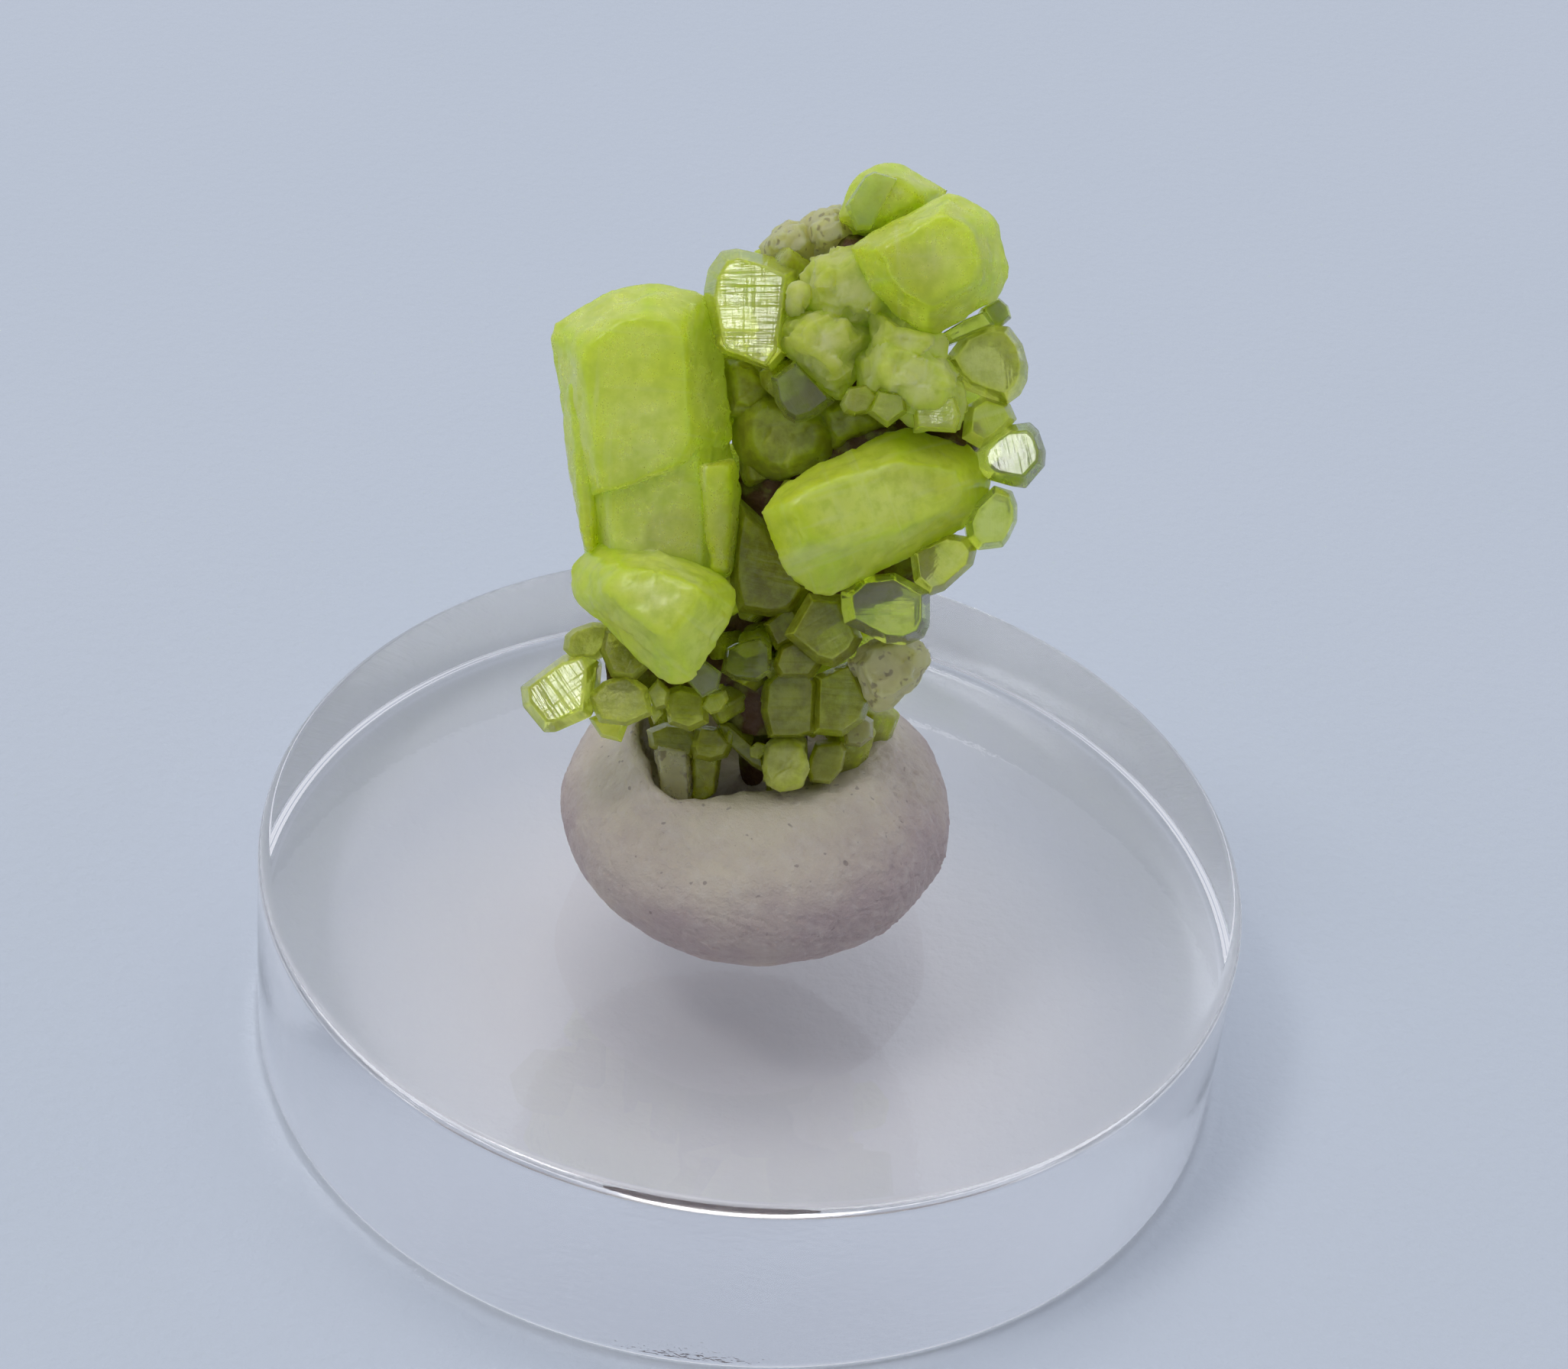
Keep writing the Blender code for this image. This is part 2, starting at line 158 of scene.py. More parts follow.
FLOOR_HALF = 600
FLOOR_LEVEL = -0.02
ROOM_BRIGHT_SIDE = (0.0, 0.5, 0.87)
ROOM_STRENGTH = (0.79, 0.98)  # on the display side, and above and behind
ONLOOKER = (0.0, -0.72, 0.69)  # the way to whoever looks, who shades the room a little
ONLOOKER_SHADE = 0.42
PAPER_LIT = (0.0, -3.5, 0.0)  # the middle of the paper's painted light, paler where the disc gathers light
LIT_POINT = (0, 0, 12)  # the place that every light faces
CEILING_PLACE = (-150, 200, 1100)
CEILING_SIZE = (500, 400)
CEILING_POWER = 1.2
WINDOW_PLACE = (-420, -260, 950)
WINDOW_SLANT = 0.6  # how far a pane moves along both walls for each millimetre aside
WINDOW_PANES = 3
WINDOW_PANE = (60, 200)
WINDOW_PANE_STEP = 90
WINDOW_POWER = 0.6
LIGHT_BOUNCES = 24  # inside the disc and the clear crystals


class Facets(NamedTuple):
    """A crystal drawn by its outline as it is seen, with a front face and a hidden root."""

    name: str
    outline: tuple  # (x, y) of its corners
    level: float  # z of the outline's middle
    front: tuple  # (x, y, rise, share across, share up): the outline drawn in about (x, y)
    root: tuple  # the same for the hidden end
    tilt: tuple = ()  # how much z climbs to the right and upward; left out, it is by chance
    grain: tuple = (0.0, 1.0)  # which way it grew


class Crystal(NamedTuple):
    """A prism from foot to tip. turn spins it on its axis: at 0 a flat side faces the viewer."""

    name: str
    foot: tuple
    tip: tuple
    width: float
    depth: float = 0.92  # thickness from front to back, as a share of the width
    turn: float = 0.0
    ledges: tuple = ()  # (share of the length, share of the width from there on)
    sides: int = 6


# The display side's crystals
FACETS = (
    Facets(
        "left_sleeve",
        (
            (-6.32, 13.14), (-6.14, 13.52), (-5.31, 14.05), (-4.38, 14.47), (-3.16, 14.69), (-2.03, 14.49),
            (-1.51, 14.23), (-1.22, 13.81), (-1.06, 12.47), (-0.91, 11.13), (-0.87, 10.05), (-1.55, 9.31),
            (-2.54, 8.92), (-3.59, 8.63), (-4.74, 8.31), (-5.51, 8.31), (-5.92, 10.7),
        ),
        5.9, (-3.69, 9.25, 2.1, 0.57, 0.79), (-3.55, 11.09, -2.6, 0.75, 0.85), tilt=(0, 0.2), grain=(0.1, 1),
    ),
    Facets(
        "left_column",
        (
            (-5.83, 10.48), (-0.96, 10.48), (-0.71, 9.12), (-0.62, 8.44), (-0.72, 7.3), (-0.81, 6.27),
            (-0.52, 5.01), (-2.25, 4.32), (-4.56, 4.32), (-5.34, 6.89), (-5.62, 8.67),
        ),
        4.7, (-3.31, 7.45, 1.9, 0.57, 1.0), (-3.46, 7.63, -2.4, 0.75, 0.9), tilt=(0, 0.2), grain=(0.1, 1),
    ),
    Facets(
        "left_column_right_rib",
        (
            (-2.0, 9.37), (-0.79, 9.51), (-0.59, 8.61), (-0.68, 7.26), (-0.8, 6.31), (-0.96, 5.97),
            (-1.52, 5.99), (-1.85, 8.14),
        ),
        6.0, (-1.28, 7.67, 0.8, 0.6, 0.9), (-1.43, 7.76, -1.5, 0.8, 0.9), tilt=(-0.3, 0.2), grain=(0.1, 1),
    ),
    Facets(
        "glassy_sliver",
        ((-0.96, 8.65), (-0.71, 8.43), (-0.32, 7.63), (-0.23, 6.68), (-0.51, 6.38), (-0.81, 7.29)),
        5.0, (-0.62, 7.5, 0.4, 0.64, 0.88), (-0.75, 7.34, -1.2, 0.9, 0.9), tilt=(0, 0.2), grain=(-0.2, 1),
    ),
    Facets(
        "left_column_left_rib",
        (
            (-5.99, 11.79), (-5.23, 12.35), (-4.97, 9.54), (-4.78, 7.28), (-4.84, 6.49), (-5.32, 6.65),
            (-5.64, 8.42), (-5.92, 10.45),
        ),
        5.5, (-5.23, 9.26, 1.1, 0.55, 0.92), (-5.13, 9.4, -1.4, 0.8, 0.9), tilt=(0.1, 0.2), grain=(0.1, 1),
    ),
    Facets(
        "left_prism",
        (
            (-5.29, 6.86), (-5.68, 6.31), (-5.74, 5.76), (-5.6, 5.35), (-4.83, 4.71), (-3.98, 4.48),
            (-3.43, 4.11), (-3.15, 3.43), (-3.08, 2.96), (-2.62, 2.78), (-2.1, 2.87), (-1.5, 3.72),
            (-1.0, 4.56), (-0.74, 5.17), (-0.76, 5.6), (-0.96, 5.94), (-1.58, 6.28), (-3.11, 6.89),
            (-4.72, 7.13),
        ),
        6.4, (-3.09, 5.42, 2.1, 0.55, 0.45), (-4.6, 6.43, -2.6, 0.8, 0.7),
        tilt=(0.22, -0.22), grain=(0.8, -0.6),
    ),
    Facets(
        "right_prism",
        (
            (-0.07, 7.82), (0.28, 8.34), (0.64, 8.68), (2.02, 9.44), (2.83, 9.76), (4.23, 10.42),
            (5.49, 10.11), (6.08, 9.94), (6.52, 9.61), (6.82, 8.77), (6.72, 8.23), (6.13, 7.45), (5.21, 6.9),
            (3.44, 6.52), (2.45, 5.73), (1.91, 5.35), (1.49, 5.41), (1.13, 5.68), (0.71, 5.96), (0.44, 6.49),
            (0.24, 7.16),
        ),
        7.5, (3.4, 8.12, 1.7, 0.72, 0.5), (3.98, 8.46, -2.8, 0.6, 0.6), tilt=(-0.3, 0), grain=(1, 0.35),
    ),
    Facets(
        "top_prism",
        (
            (2.55, 15.43), (3.63, 15.98), (4.89, 16.7), (5.4, 17.05), (5.91, 16.82), (6.51, 16.52),
            (6.82, 16.18), (6.98, 15.59), (7.18, 14.89), (7.14, 14.43), (6.96, 14.01), (5.92, 13.41),
            (4.9, 12.81), (4.66, 13.01), (3.91, 13.41), (3.17, 14.17),
        ),
        9.2, (4.71, 14.83, 1.5, 0.62, 0.62), (4.41, 15.05, -4.0, 0.8, 0.8), tilt=(-0.1, 0.1),
    ),
    Facets(
        "top_behind",
        (
            (2.21, 16.41), (2.32, 16.82), (2.57, 17.43), (2.84, 17.78), (3.13, 17.9), (3.4, 18.05),
            (3.85, 18.14), (4.21, 18.1), (4.97, 17.69), (5.54, 17.36), (5.09, 16.75), (3.69, 16.01),
            (2.93, 16.01),
        ),
        7.2, (3.75, 16.89, 1.2, 0.5, 0.55), (3.52, 16.78, -3.0, 0.8, 0.8), grain=(0.3, 1),
    ),
    Facets(
        "top_left_blade",
        (
            (2.44, 16.74), (3.02, 17.61), (3.31, 17.75), (4.05, 17.55), (3.67, 16.83), (3.22, 16.03),
            (2.75, 16.03),
        ),
        8.15, (3.26, 16.87, 0.4, 0.85, 0.88), (3.35, 16.83, -1.6, 0.8, 0.8), grain=(0.4, 1),
    ),
    Facets(
        "pale_top_left",
        (
            (-0.09, 15.82), (0.02, 16.03), (0.27, 16.28), (0.89, 16.6), (1.48, 16.78), (1.84, 15.91),
            (1.44, 15.28), (0.75, 15.14), (0.07, 15.5),
        ),
        5.7, (0.86, 15.83, 1.1, 0.5, 0.5), (1.45, 15.66, -1.8, 0.8, 0.8), grain=(1, 0.4),
    ),
    Facets(
        "pale_top_right",
        (
            (1.09, 16.51), (1.73, 16.9), (2.32, 17.04), (2.61, 16.56), (2.8, 15.79), (2.11, 15.42),
            (1.43, 15.54),
        ),
        6.0, (1.99, 16.16, 1.1, 0.5, 0.5), (2.14, 15.97, -1.8, 0.8, 0.8), grain=(1, 0.4),
    ),
    Facets(
        "bright_stub",
        (
            (-1.72, 14.39), (-1.59, 15.1), (-1.2, 15.65), (-0.73, 15.72), (0.3, 15.45), (1.13, 15.1),
            (0.93, 14.59), (0.8, 13.94), (0.62, 13.27), (0.75, 12.51), (0.32, 12.02), (-0.24, 12.22),
            (-1.16, 12.58), (-1.37, 12.83), (-1.5, 13.63),
        ),
        7.0, (-0.41, 12.07, 1.3, 0.73, 0.87), (-0.28, 14.14, -1.8, 0.8, 0.8), tilt=(0.19, -0.27),
    ),
    Facets(
        "stub_foot",
        (
            (-1.37, 12.73), (-1.31, 13.16), (-0.7, 13.27), (-0.03, 13.2), (0.35, 12.84), (0.77, 12.44),
            (0.33, 11.93), (-0.23, 12.13), (-1.15, 12.48),
        ),
        7.7, (-0.32, 12.59, 0.85, 0.85, 0.82), (-0.27, 13.11, -1.2, 0.8, 0.8), tilt=(0.19, -0.24),
    ),
    Facets(
        "glass_prism",
        (
            (0.28, 11.77), (1.0, 12.28), (1.4, 11.88), (2.18, 11.08), (1.51, 10.58), (1.0, 10.43),
            (0.68, 10.61), (0.39, 11.08),
        ),
        7.7, (1.11, 11.24, 0.8, 0.77, 0.77), (1.77, 11.8, -1.8, 0.8, 0.8), grain=(-0.8, -0.5),
    ),
    Facets(
        "middle_mass",
        (
            (0.59, 13.28), (0.5, 12.93), (0.68, 12.46), (1.08, 12.17), (1.71, 11.54), (2.31, 11.16),
            (2.62, 11.45), (2.85, 12.08), (3.43, 12.97), (2.98, 13.75), (1.87, 13.98), (0.88, 13.62),
        ),
        8.0, (1.81, 12.63, 1.3, 0.5, 0.5), (2.81, 13.21, -2.6, 0.8, 0.8), grain=(1, 0.6),
    ),
    Facets(
        "middle_upper",
        (
            (1.4, 15.26), (1.98, 15.48), (2.8, 15.69), (3.76, 15.07), (4.13, 13.84), (3.65, 13.22),
            (2.31, 13.2), (0.97, 13.62), (1.06, 14.44),
        ),
        8.0, (2.52, 14.15, 1.1, 0.55, 0.55), (3.5, 14.6, -3.0, 0.8, 0.8), tilt=(0.15, 0), grain=(1, 0.3),
    ),
    Facets(
        "middle_knob",
        (
            (0.77, 14.17), (0.86, 14.48), (1.13, 14.59), (1.46, 14.5), (1.55, 13.95), (1.24, 13.57),
            (0.88, 13.66),
        ),
        8.3, (1.15, 14.05, 0.5, 0.5, 0.5), (1.88, 14.29, -1.2, 0.9, 0.9), grain=(1, 0.3),
    ),
    Facets(
        "middle_lower",
        (
            (2.71, 12.19), (3.43, 13.08), (4.88, 12.97), (5.5, 12.3), (5.7, 11.74), (6.04, 11.41),
            (6.04, 10.85), (5.79, 10.25), (4.54, 10.25), (4.21, 10.7), (3.43, 11.08), (2.87, 11.45),
        ),
        8.0, (4.43, 11.57, 1.3, 0.55, 0.55), (4.41, 12.31, -2.8, 0.8, 0.8), grain=(0.3, 1),
    ),
    Facets(
        "middle_right",
        (
            (3.19, 13.81), (3.97, 13.55), (4.75, 13.08), (5.41, 12.93), (5.35, 12.15), (4.08, 11.93),
            (3.15, 12.59),
        ),
        8.5, (4.16, 12.71, 0.9, 0.5, 0.5), (4.37, 13.13, -2.2, 0.8, 0.8), grain=(0.3, 1),
    ),
    Facets(
        "lower_tooth_left",
        (
            (2.28, 10.94), (2.51, 11.43), (3.09, 11.54), (3.46, 11.16), (3.13, 10.68), (2.71, 10.59),
            (2.4, 10.7),
        ),
        8.3, (2.83, 10.98, 0.7, 0.76, 0.76), (3.23, 11.96, -1.6, 0.9, 0.9), grain=(0.2, 1),
    ),
    Facets(
        "lower_tooth_middle",
        ((3.06, 10.68), (3.37, 11.33), (4.19, 11.24), (4.26, 10.71), (3.66, 10.26)),
        8.5, (3.66, 10.82, 0.6, 0.76, 0.76), (3.9, 11.95, -1.6, 0.9, 0.9), grain=(0.2, 1),
    ),
    Facets(
        "lower_tooth_right",
        ((4.39, 10.92), (4.65, 11.21), (5.63, 11.16), (5.81, 10.59), (5.65, 10.08), (4.45, 10.17)),
        8.6, (5.1, 10.62, 0.5, 0.83, 0.83), (5.03, 11.5, -1.8, 0.9, 0.9), grain=(0.1, 1),
    ),
    Facets(
        "right_block",
        (
            (5.38, 12.37), (5.9, 13.04), (6.59, 13.34), (7.27, 13.29), (7.67, 12.77), (7.85, 12.15),
            (7.83, 11.72), (7.63, 11.31), (7.27, 11.05), (6.59, 11.25), (6.05, 11.47), (5.69, 11.81),
        ),
        7.2, (6.53, 12.1, 1.1, 0.76, 0.76), (6.24, 12.31, -2.0, 0.8, 0.8), grain=(1, 0.1),
    ),
    Facets(
        "right_finger",
        ((6.44, 13.82), (6.96, 14.12), (7.23, 13.89), (7.34, 13.53), (7.02, 13.26), (6.46, 13.31)),
        7.5, (6.88, 13.62, 0.5, 0.76, 0.76), (6.08, 13.49, -1.4, 0.8, 0.8), grain=(1, 0.4),
    ),
    Facets(
        "right_finger_low",
        ((5.13, 12.96), (5.93, 13.45), (6.56, 13.7), (6.85, 13.29), (6.06, 13.03), (5.44, 12.71)),
        7.9, (6.04, 13.23, 0.4, 0.76, 0.76), (5.73, 13.13, -1.6, 0.8, 0.8), grain=(1, 0.4),
    ),
    Facets(
        "right_wedge",
        (
            (6.02, 11.0), (6.54, 11.34), (7.35, 11.09), (7.55, 10.62), (7.31, 10.37), (6.86, 9.99),
            (6.43, 9.72), (5.89, 10.03),
        ),
        6.9, (6.68, 10.56, 0.8, 0.67, 0.7), (6.24, 10.48, -1.6, 0.8, 0.8), grain=(1, 0.3),
    ),
    Facets(
        "right_trumpet",
        (
            (6.4, 9.69), (6.85, 10.18), (7.28, 10.47), (7.93, 10.54), (8.18, 10.29), (8.38, 9.64),
            (8.34, 9.21), (8.0, 8.81), (7.77, 8.54), (7.35, 8.61), (6.69, 8.81), (6.4, 9.19),
        ),
        7.0, (7.18, 9.49, 0.95, 0.77, 0.7), (6.02, 9.48, -1.0, 0.5, 0.5), tilt=(0.23, -0.3), grain=(1, 0.2),
    ),
    Facets(
        "right_low_block",
        (
            (6.0, 7.51), (6.23, 8.05), (6.7, 8.23), (6.86, 8.66), (7.4, 8.5), (7.56, 8.1), (7.56, 7.62),
            (7.31, 7.08), (7.13, 6.84), (6.39, 6.75), (6.07, 7.08),
        ),
        6.8, (6.77, 7.55, 0.8, 0.77, 0.77), (6.19, 7.74, -1.6, 0.8, 0.8), grain=(1, 0),
    ),
    Facets(
        "right_tooth",
        (
            (4.36, 6.73), (5.49, 7.27), (6.12, 7.16), (6.37, 6.77), (6.26, 6.32), (5.76, 6.23), (5.72, 5.91),
            (5.4, 5.55), (4.95, 5.4), (4.5, 5.82),
        ),
        6.7, (5.21, 6.34, 0.8, 0.76, 0.76), (4.88, 6.95, -1.8, 0.8, 0.8), grain=(0.6, -0.6),
    ),
    Facets(
        "right_square_block",
        (
            (2.34, 5.54), (2.86, 5.99), (3.92, 6.1), (4.98, 5.54), (4.98, 4.56), (4.82, 4.18), (4.3, 3.95),
            (3.67, 4.0), (3.06, 4.27), (2.45, 4.59), (2.36, 5.04),
        ),
        6.4, (3.73, 5.04, 1.2, 0.76, 0.76), (3.75, 5.82, -2.2, 0.8, 0.8),
    ),
    Facets(
        "deep_plate",
        (
            (-0.97, 11.21), (-0.17, 11.67), (0.52, 11.33), (1.44, 11.1), (2.02, 10.94), (2.34, 10.29),
            (2.06, 9.56), (0.75, 8.82), (0.09, 8.96), (-0.56, 9.24), (-0.9, 9.9),
        ),
        5.3, (0.71, 10.07, 0.7, 0.6, 0.6), (0.75, 10.67, -2.2, 0.8, 0.8), grain=(1, 0.1),
    ),
    Facets(
        "deep_plate_upper",
        (
            (-1.21, 12.62), (-0.86, 12.8), (-0.28, 12.53), (0.34, 11.97), (0.43, 11.12), (-0.28, 10.64),
            (-1.04, 10.82),
        ),
        5.1, (-0.39, 11.64, 0.7, 0.5, 0.5), (-0.18, 11.62, -2.0, 0.8, 0.8), grain=(0.1, 1),
    ),
    Facets(
        "deep_plate_right",
        (
            (1.44, 11.18), (2.36, 11.41), (3.5, 10.95), (4.19, 10.59), (2.81, 9.92), (2.01, 9.58),
            (1.55, 10.27),
        ),
        5.6, (2.58, 10.55, 0.6, 0.5, 0.5), (2.62, 10.63, -2.0, 0.8, 0.8), grain=(1, 0.2),
    ),
    Facets(
        "deep_block",
        (
            (-0.71, 8.44), (0.06, 7.75), (0.87, 6.49), (1.49, 5.64), (0.98, 4.86), (0.2, 4.82), (-0.71, 4.96),
            (-0.97, 5.92), (-0.9, 7.29),
        ),
        4.9, (0.16, 5.8, 0.85, 0.76, 0.76), (0.17, 6.68, -2.2, 0.8, 0.8), grain=(0.2, 1),
    ),
    Facets(
        "centre_block",
        (
            (0.64, 4.27), (1.39, 5.55), (2.4, 5.5), (2.52, 4.47), (3.04, 4.17), (2.79, 3.72), (2.17, 3.28),
            (1.62, 3.44),
        ),
        5.0, (1.89, 4.39, 0.8, 0.76, 0.76), (1.92, 5.04, -2.2, 0.8, 0.8), grain=(0.6, -1),
    ),
    Facets(
        "centre_left",
        ((0.02, 4.62), (0.87, 5.29), (1.26, 4.83), (0.98, 4.14), (0.41, 3.81)),
        4.3, (0.66, 4.54, 0.6, 0.73, 0.73), (0.64, 5.04, -1.6, 0.8, 0.8), grain=(0.6, -1),
    ),
    Facets(
        "centre_low",
        ((0.31, 3.35), (0.5, 3.95), (0.98, 4.19), (1.86, 3.45), (1.54, 2.98), (0.52, 2.98)),
        4.1, (0.98, 3.51, 0.7, 0.73, 0.73), (1.22, 3.99, -1.6, 0.8, 0.8),
    ),
    Facets(
        "speckled_block",
        (
            (2.99, 3.95), (3.52, 4.3), (4.44, 4.39), (4.97, 3.98), (5.09, 3.4), (4.77, 2.87), (4.33, 2.64),
            (3.94, 2.13), (3.43, 2.04), (3.15, 2.36), (2.62, 3.45),
        ),
        4.2, (3.84, 3.3, 1.0, 0.66, 0.66), (3.34, 3.41, -2.2, 0.8, 0.8), grain=(0.3, 1),
    ),
    Facets(
        "upright_prism",
        (
            (0.03, 2.87), (0.36, 3.15), (1.43, 3.22), (1.71, 2.87), (1.62, 1.3), (1.18, 1.16), (0.17, 1.16),
            (-0.06, 1.98),
        ),
        2.9, (0.85, 2.13, 0.85, 0.76, 0.89), (0.99, 2.11, -1.8, 0.8, 0.9), tilt=(0, 0.3),
    ),
    Facets(
        "right_slab",
        ((1.59, 3.08), (2.69, 3.54), (3.34, 2.29), (3.11, 1.66), (2.44, 1.19), (1.55, 1.26)),
        2.9, (2.38, 2.36, 0.7, 0.76, 0.82), (2.29, 2.47, -1.8, 0.8, 0.8), tilt=(0, 0.2), grain=(0.1, 1),
    ),
    Facets(
        "right_stump",
        ((2.45, 1.53), (3.07, 1.93), (3.44, 1.69), (3.42, 1.15), (3.02, 0.84), (2.55, 0.91)),
        1.6, (2.94, 1.37, 0.6, 0.73, 0.76), (2.79, 1.51, -1.6, 0.8, 0.8), grain=(0.1, 1),
    ),
    Facets(
        "round_ended_prism",
        (
            (0.05, 0.72), (0.24, 1.09), (0.8, 1.3), (1.34, 1.02), (1.39, 0.39), (1.18, -0.31), (0.61, -0.57),
            (0.08, -0.36), (-0.02, 0.16),
        ),
        2.6, (0.68, 0.38, 0.4, 0.78, 0.78), (0.88, 1.75, -2.4, 0.9, 0.9),
    ),
    Facets(
        "clear_ended_prism",
        (
            (1.41, 0.45), (1.62, 0.99), (2.45, 1.04), (2.61, 0.78), (2.47, 0.19), (2.09, -0.28),
            (1.48, -0.21), (1.34, 0.12),
        ),
        2.0, (2.0, 0.41, 0.4, 0.83, 0.83), (2.07, 1.63, -2.2, 0.9, 0.9),
    ),
    Facets(
        "slanting_splint",
        ((-1.44, 1.72), (-1.13, 1.69), (0.02, 0.58), (0.12, 0.04), (-0.31, 0.25), (-1.29, 1.15)),
        1.7, (-0.65, 0.94, 0.4, 0.82, 0.76), (-0.56, 1.27, -1.4, 0.9, 0.9), grain=(0.7, -1),
    ),
    Facets(
        "foot_column",
        ((-3.4, 1.01), (-2.24, 0.77), (-2.16, -0.8), (-2.61, -1.04), (-3.15, -0.85), (-3.33, 0.46)),
        1.3, (-2.72, -0.11, 0.75, 0.77, 0.97), (-2.79, 0.31, -1.5, 0.8, 0.9), tilt=(0, 0.2),
    ),
    Facets(
        "foot_column_right",
        ((-2.23, 0.69), (-1.28, 0.62), (-1.35, 0.05), (-1.47, -0.57), (-2.02, -0.9), (-2.26, -0.74)),
        1.0, (-1.77, -0.08, 0.6, 0.76, 0.97), (-1.76, 0.31, -1.4, 0.8, 0.9), tilt=(0, 0.2),
    ),
    Facets(
        "foot_knob",
        (
            (-2.23, 0.87), (-2.0, 1.58), (-1.36, 1.48), (-0.89, 0.94), (-1.08, 0.54), (-1.6, 0.4),
            (-2.12, 0.52),
        ),
        1.9, (-1.54, 1.0, 0.6, 0.73, 0.73), (-1.63, 1.51, -1.6, 0.8, 0.8), grain=(0.1, 1),
    ),
    Facets(
        "foot_knob_left",
        (
            (-3.59, 1.41), (-3.02, 1.64), (-2.27, 1.6), (-1.89, 1.01), (-2.12, 0.49), (-3.02, 0.53),
            (-3.49, 0.86),
        ),
        1.5, (-2.77, 1.06, 0.6, 0.76, 0.73), (-2.59, 1.51, -1.6, 0.8, 0.8), grain=(0.1, 1),
    ),
    Facets(
        "under_left_prism",
        ((-3.05, 2.59), (-2.49, 2.8), (-1.66, 2.54), (-1.61, 1.62), (-2.19, 1.36), (-2.84, 1.59)),
        3.6, (-2.31, 2.06, 0.7, 0.76, 0.76), (-2.31, 2.71, -2.0, 0.8, 0.8), grain=(0.1, 1),
    ),
    Facets(
        "small_glass_tip",
        ((-2.26, 2.91), (-1.8, 3.6), (-1.19, 3.14), (-1.3, 2.66), (-1.78, 2.39)),
        5.4, (-1.73, 2.96, 0.4, 0.82, 0.82), (-2.03, 3.4, -2.0, 0.8, 0.8), grain=(0.4, -1),
    ),
    Facets(
        "bright_elbow",
        (
            (-1.25, 3.17), (-1.09, 3.91), (-0.51, 4.18), (0.02, 4.27), (0.29, 3.97), (0.29, 3.17),
            (-0.12, 2.87), (-0.86, 2.94),
        ),
        4.4, (-0.44, 3.53, 0.5, 0.82, 0.8), (-0.53, 3.88, -1.8, 0.8, 0.8),
    ),
    Facets(
        "left_far_prism",
        (
            (-7.33, 2.73), (-6.04, 3.7), (-5.23, 3.9), (-5.0, 3.54), (-5.13, 1.83), (-5.94, 1.6),
            (-6.22, 1.35), (-6.57, 1.34), (-7.24, 2.13),
        ),
        4.2, (-6.05, 2.66, 0.85, 0.76, 0.75), (-4.6, 3.17, -1.2, 0.7, 0.7),
        tilt=(0.15, -0.33), grain=(1, 0.7),
    ),
    Facets(
        "left_spotted_prism",
        (
            (-5.27, 2.43), (-4.79, 2.89), (-4.05, 3.14), (-3.43, 2.69), (-3.27, 1.88), (-4.05, 1.54),
            (-4.9, 1.65),
        ),
        4.6, (-4.22, 2.34, 0.45, 0.82, 0.82), (-4.16, 3.06, -2.2, 0.8, 0.8), grain=(0.1, 1),
    ),
    Facets(
        "left_spike",
        ((-5.27, 1.78), (-4.81, 1.94), (-4.04, 1.64), (-4.27, 1.04), (-4.9, 1.2)),
        3.7, (-4.67, 1.55, 0.35, 0.7, 0.7), (-4.52, 2.12, -1.4, 0.8, 0.8), grain=(0.3, -1),
    ),
    Facets(
        "left_upper_lump",
        (
            (-6.01, 3.86), (-5.94, 4.28), (-5.71, 4.48), (-5.13, 4.69), (-4.62, 4.67), (-4.48, 4.09),
            (-5.01, 3.54), (-5.71, 3.54),
        ),
        4.2, (-5.16, 4.08, 0.7, 0.73, 0.73), (-4.62, 3.88, -1.6, 0.8, 0.8), grain=(1, -0.3),
    ),
    Facets(
        "left_inner_lump",
        (
            (-4.82, 4.55), (-4.04, 4.53), (-3.48, 4.09), (-3.35, 3.35), (-3.81, 2.89), (-4.54, 3.01),
            (-4.91, 3.86),
        ),
        4.4, (-4.05, 3.71, 0.8, 0.73, 0.73), (-3.91, 3.87, -1.6, 0.8, 0.8), grain=(0.3, -1),
    ),
    Facets(
        "left_low_tip",
        ((-3.48, 2.59), (-3.14, 2.98), (-2.77, 2.59), (-2.86, 2.11), (-3.21, 1.97)),
        4.4, (-3.13, 2.46, 0.4, 0.73, 0.73), (-3.09, 2.94, -1.4, 0.8, 0.8), grain=(0.1, 1),
    ),
    Facets(
        "left_lowest_tip",
        ((-3.49, 2.13), (-3.15, 2.25), (-2.99, 1.92), (-3.26, 1.58)),
        4.1, (-3.23, 1.97, 0.35, 0.73, 0.73), (-3.1, 2.47, -1.4, 0.8, 0.8), grain=(0.1, 1),
    ),
    Facets(
        "small_green_tip",
        ((-1.82, 2.11), (-1.66, 2.43), (-1.09, 2.62), (-1.0, 2.36), (-1.18, 1.99), (-1.55, 1.88)),
        4.5, (-1.43, 2.23, 0.35, 0.76, 0.76), (-1.46, 2.71, -1.4, 0.8, 0.8), grain=(1, 0.4),
    ),
)

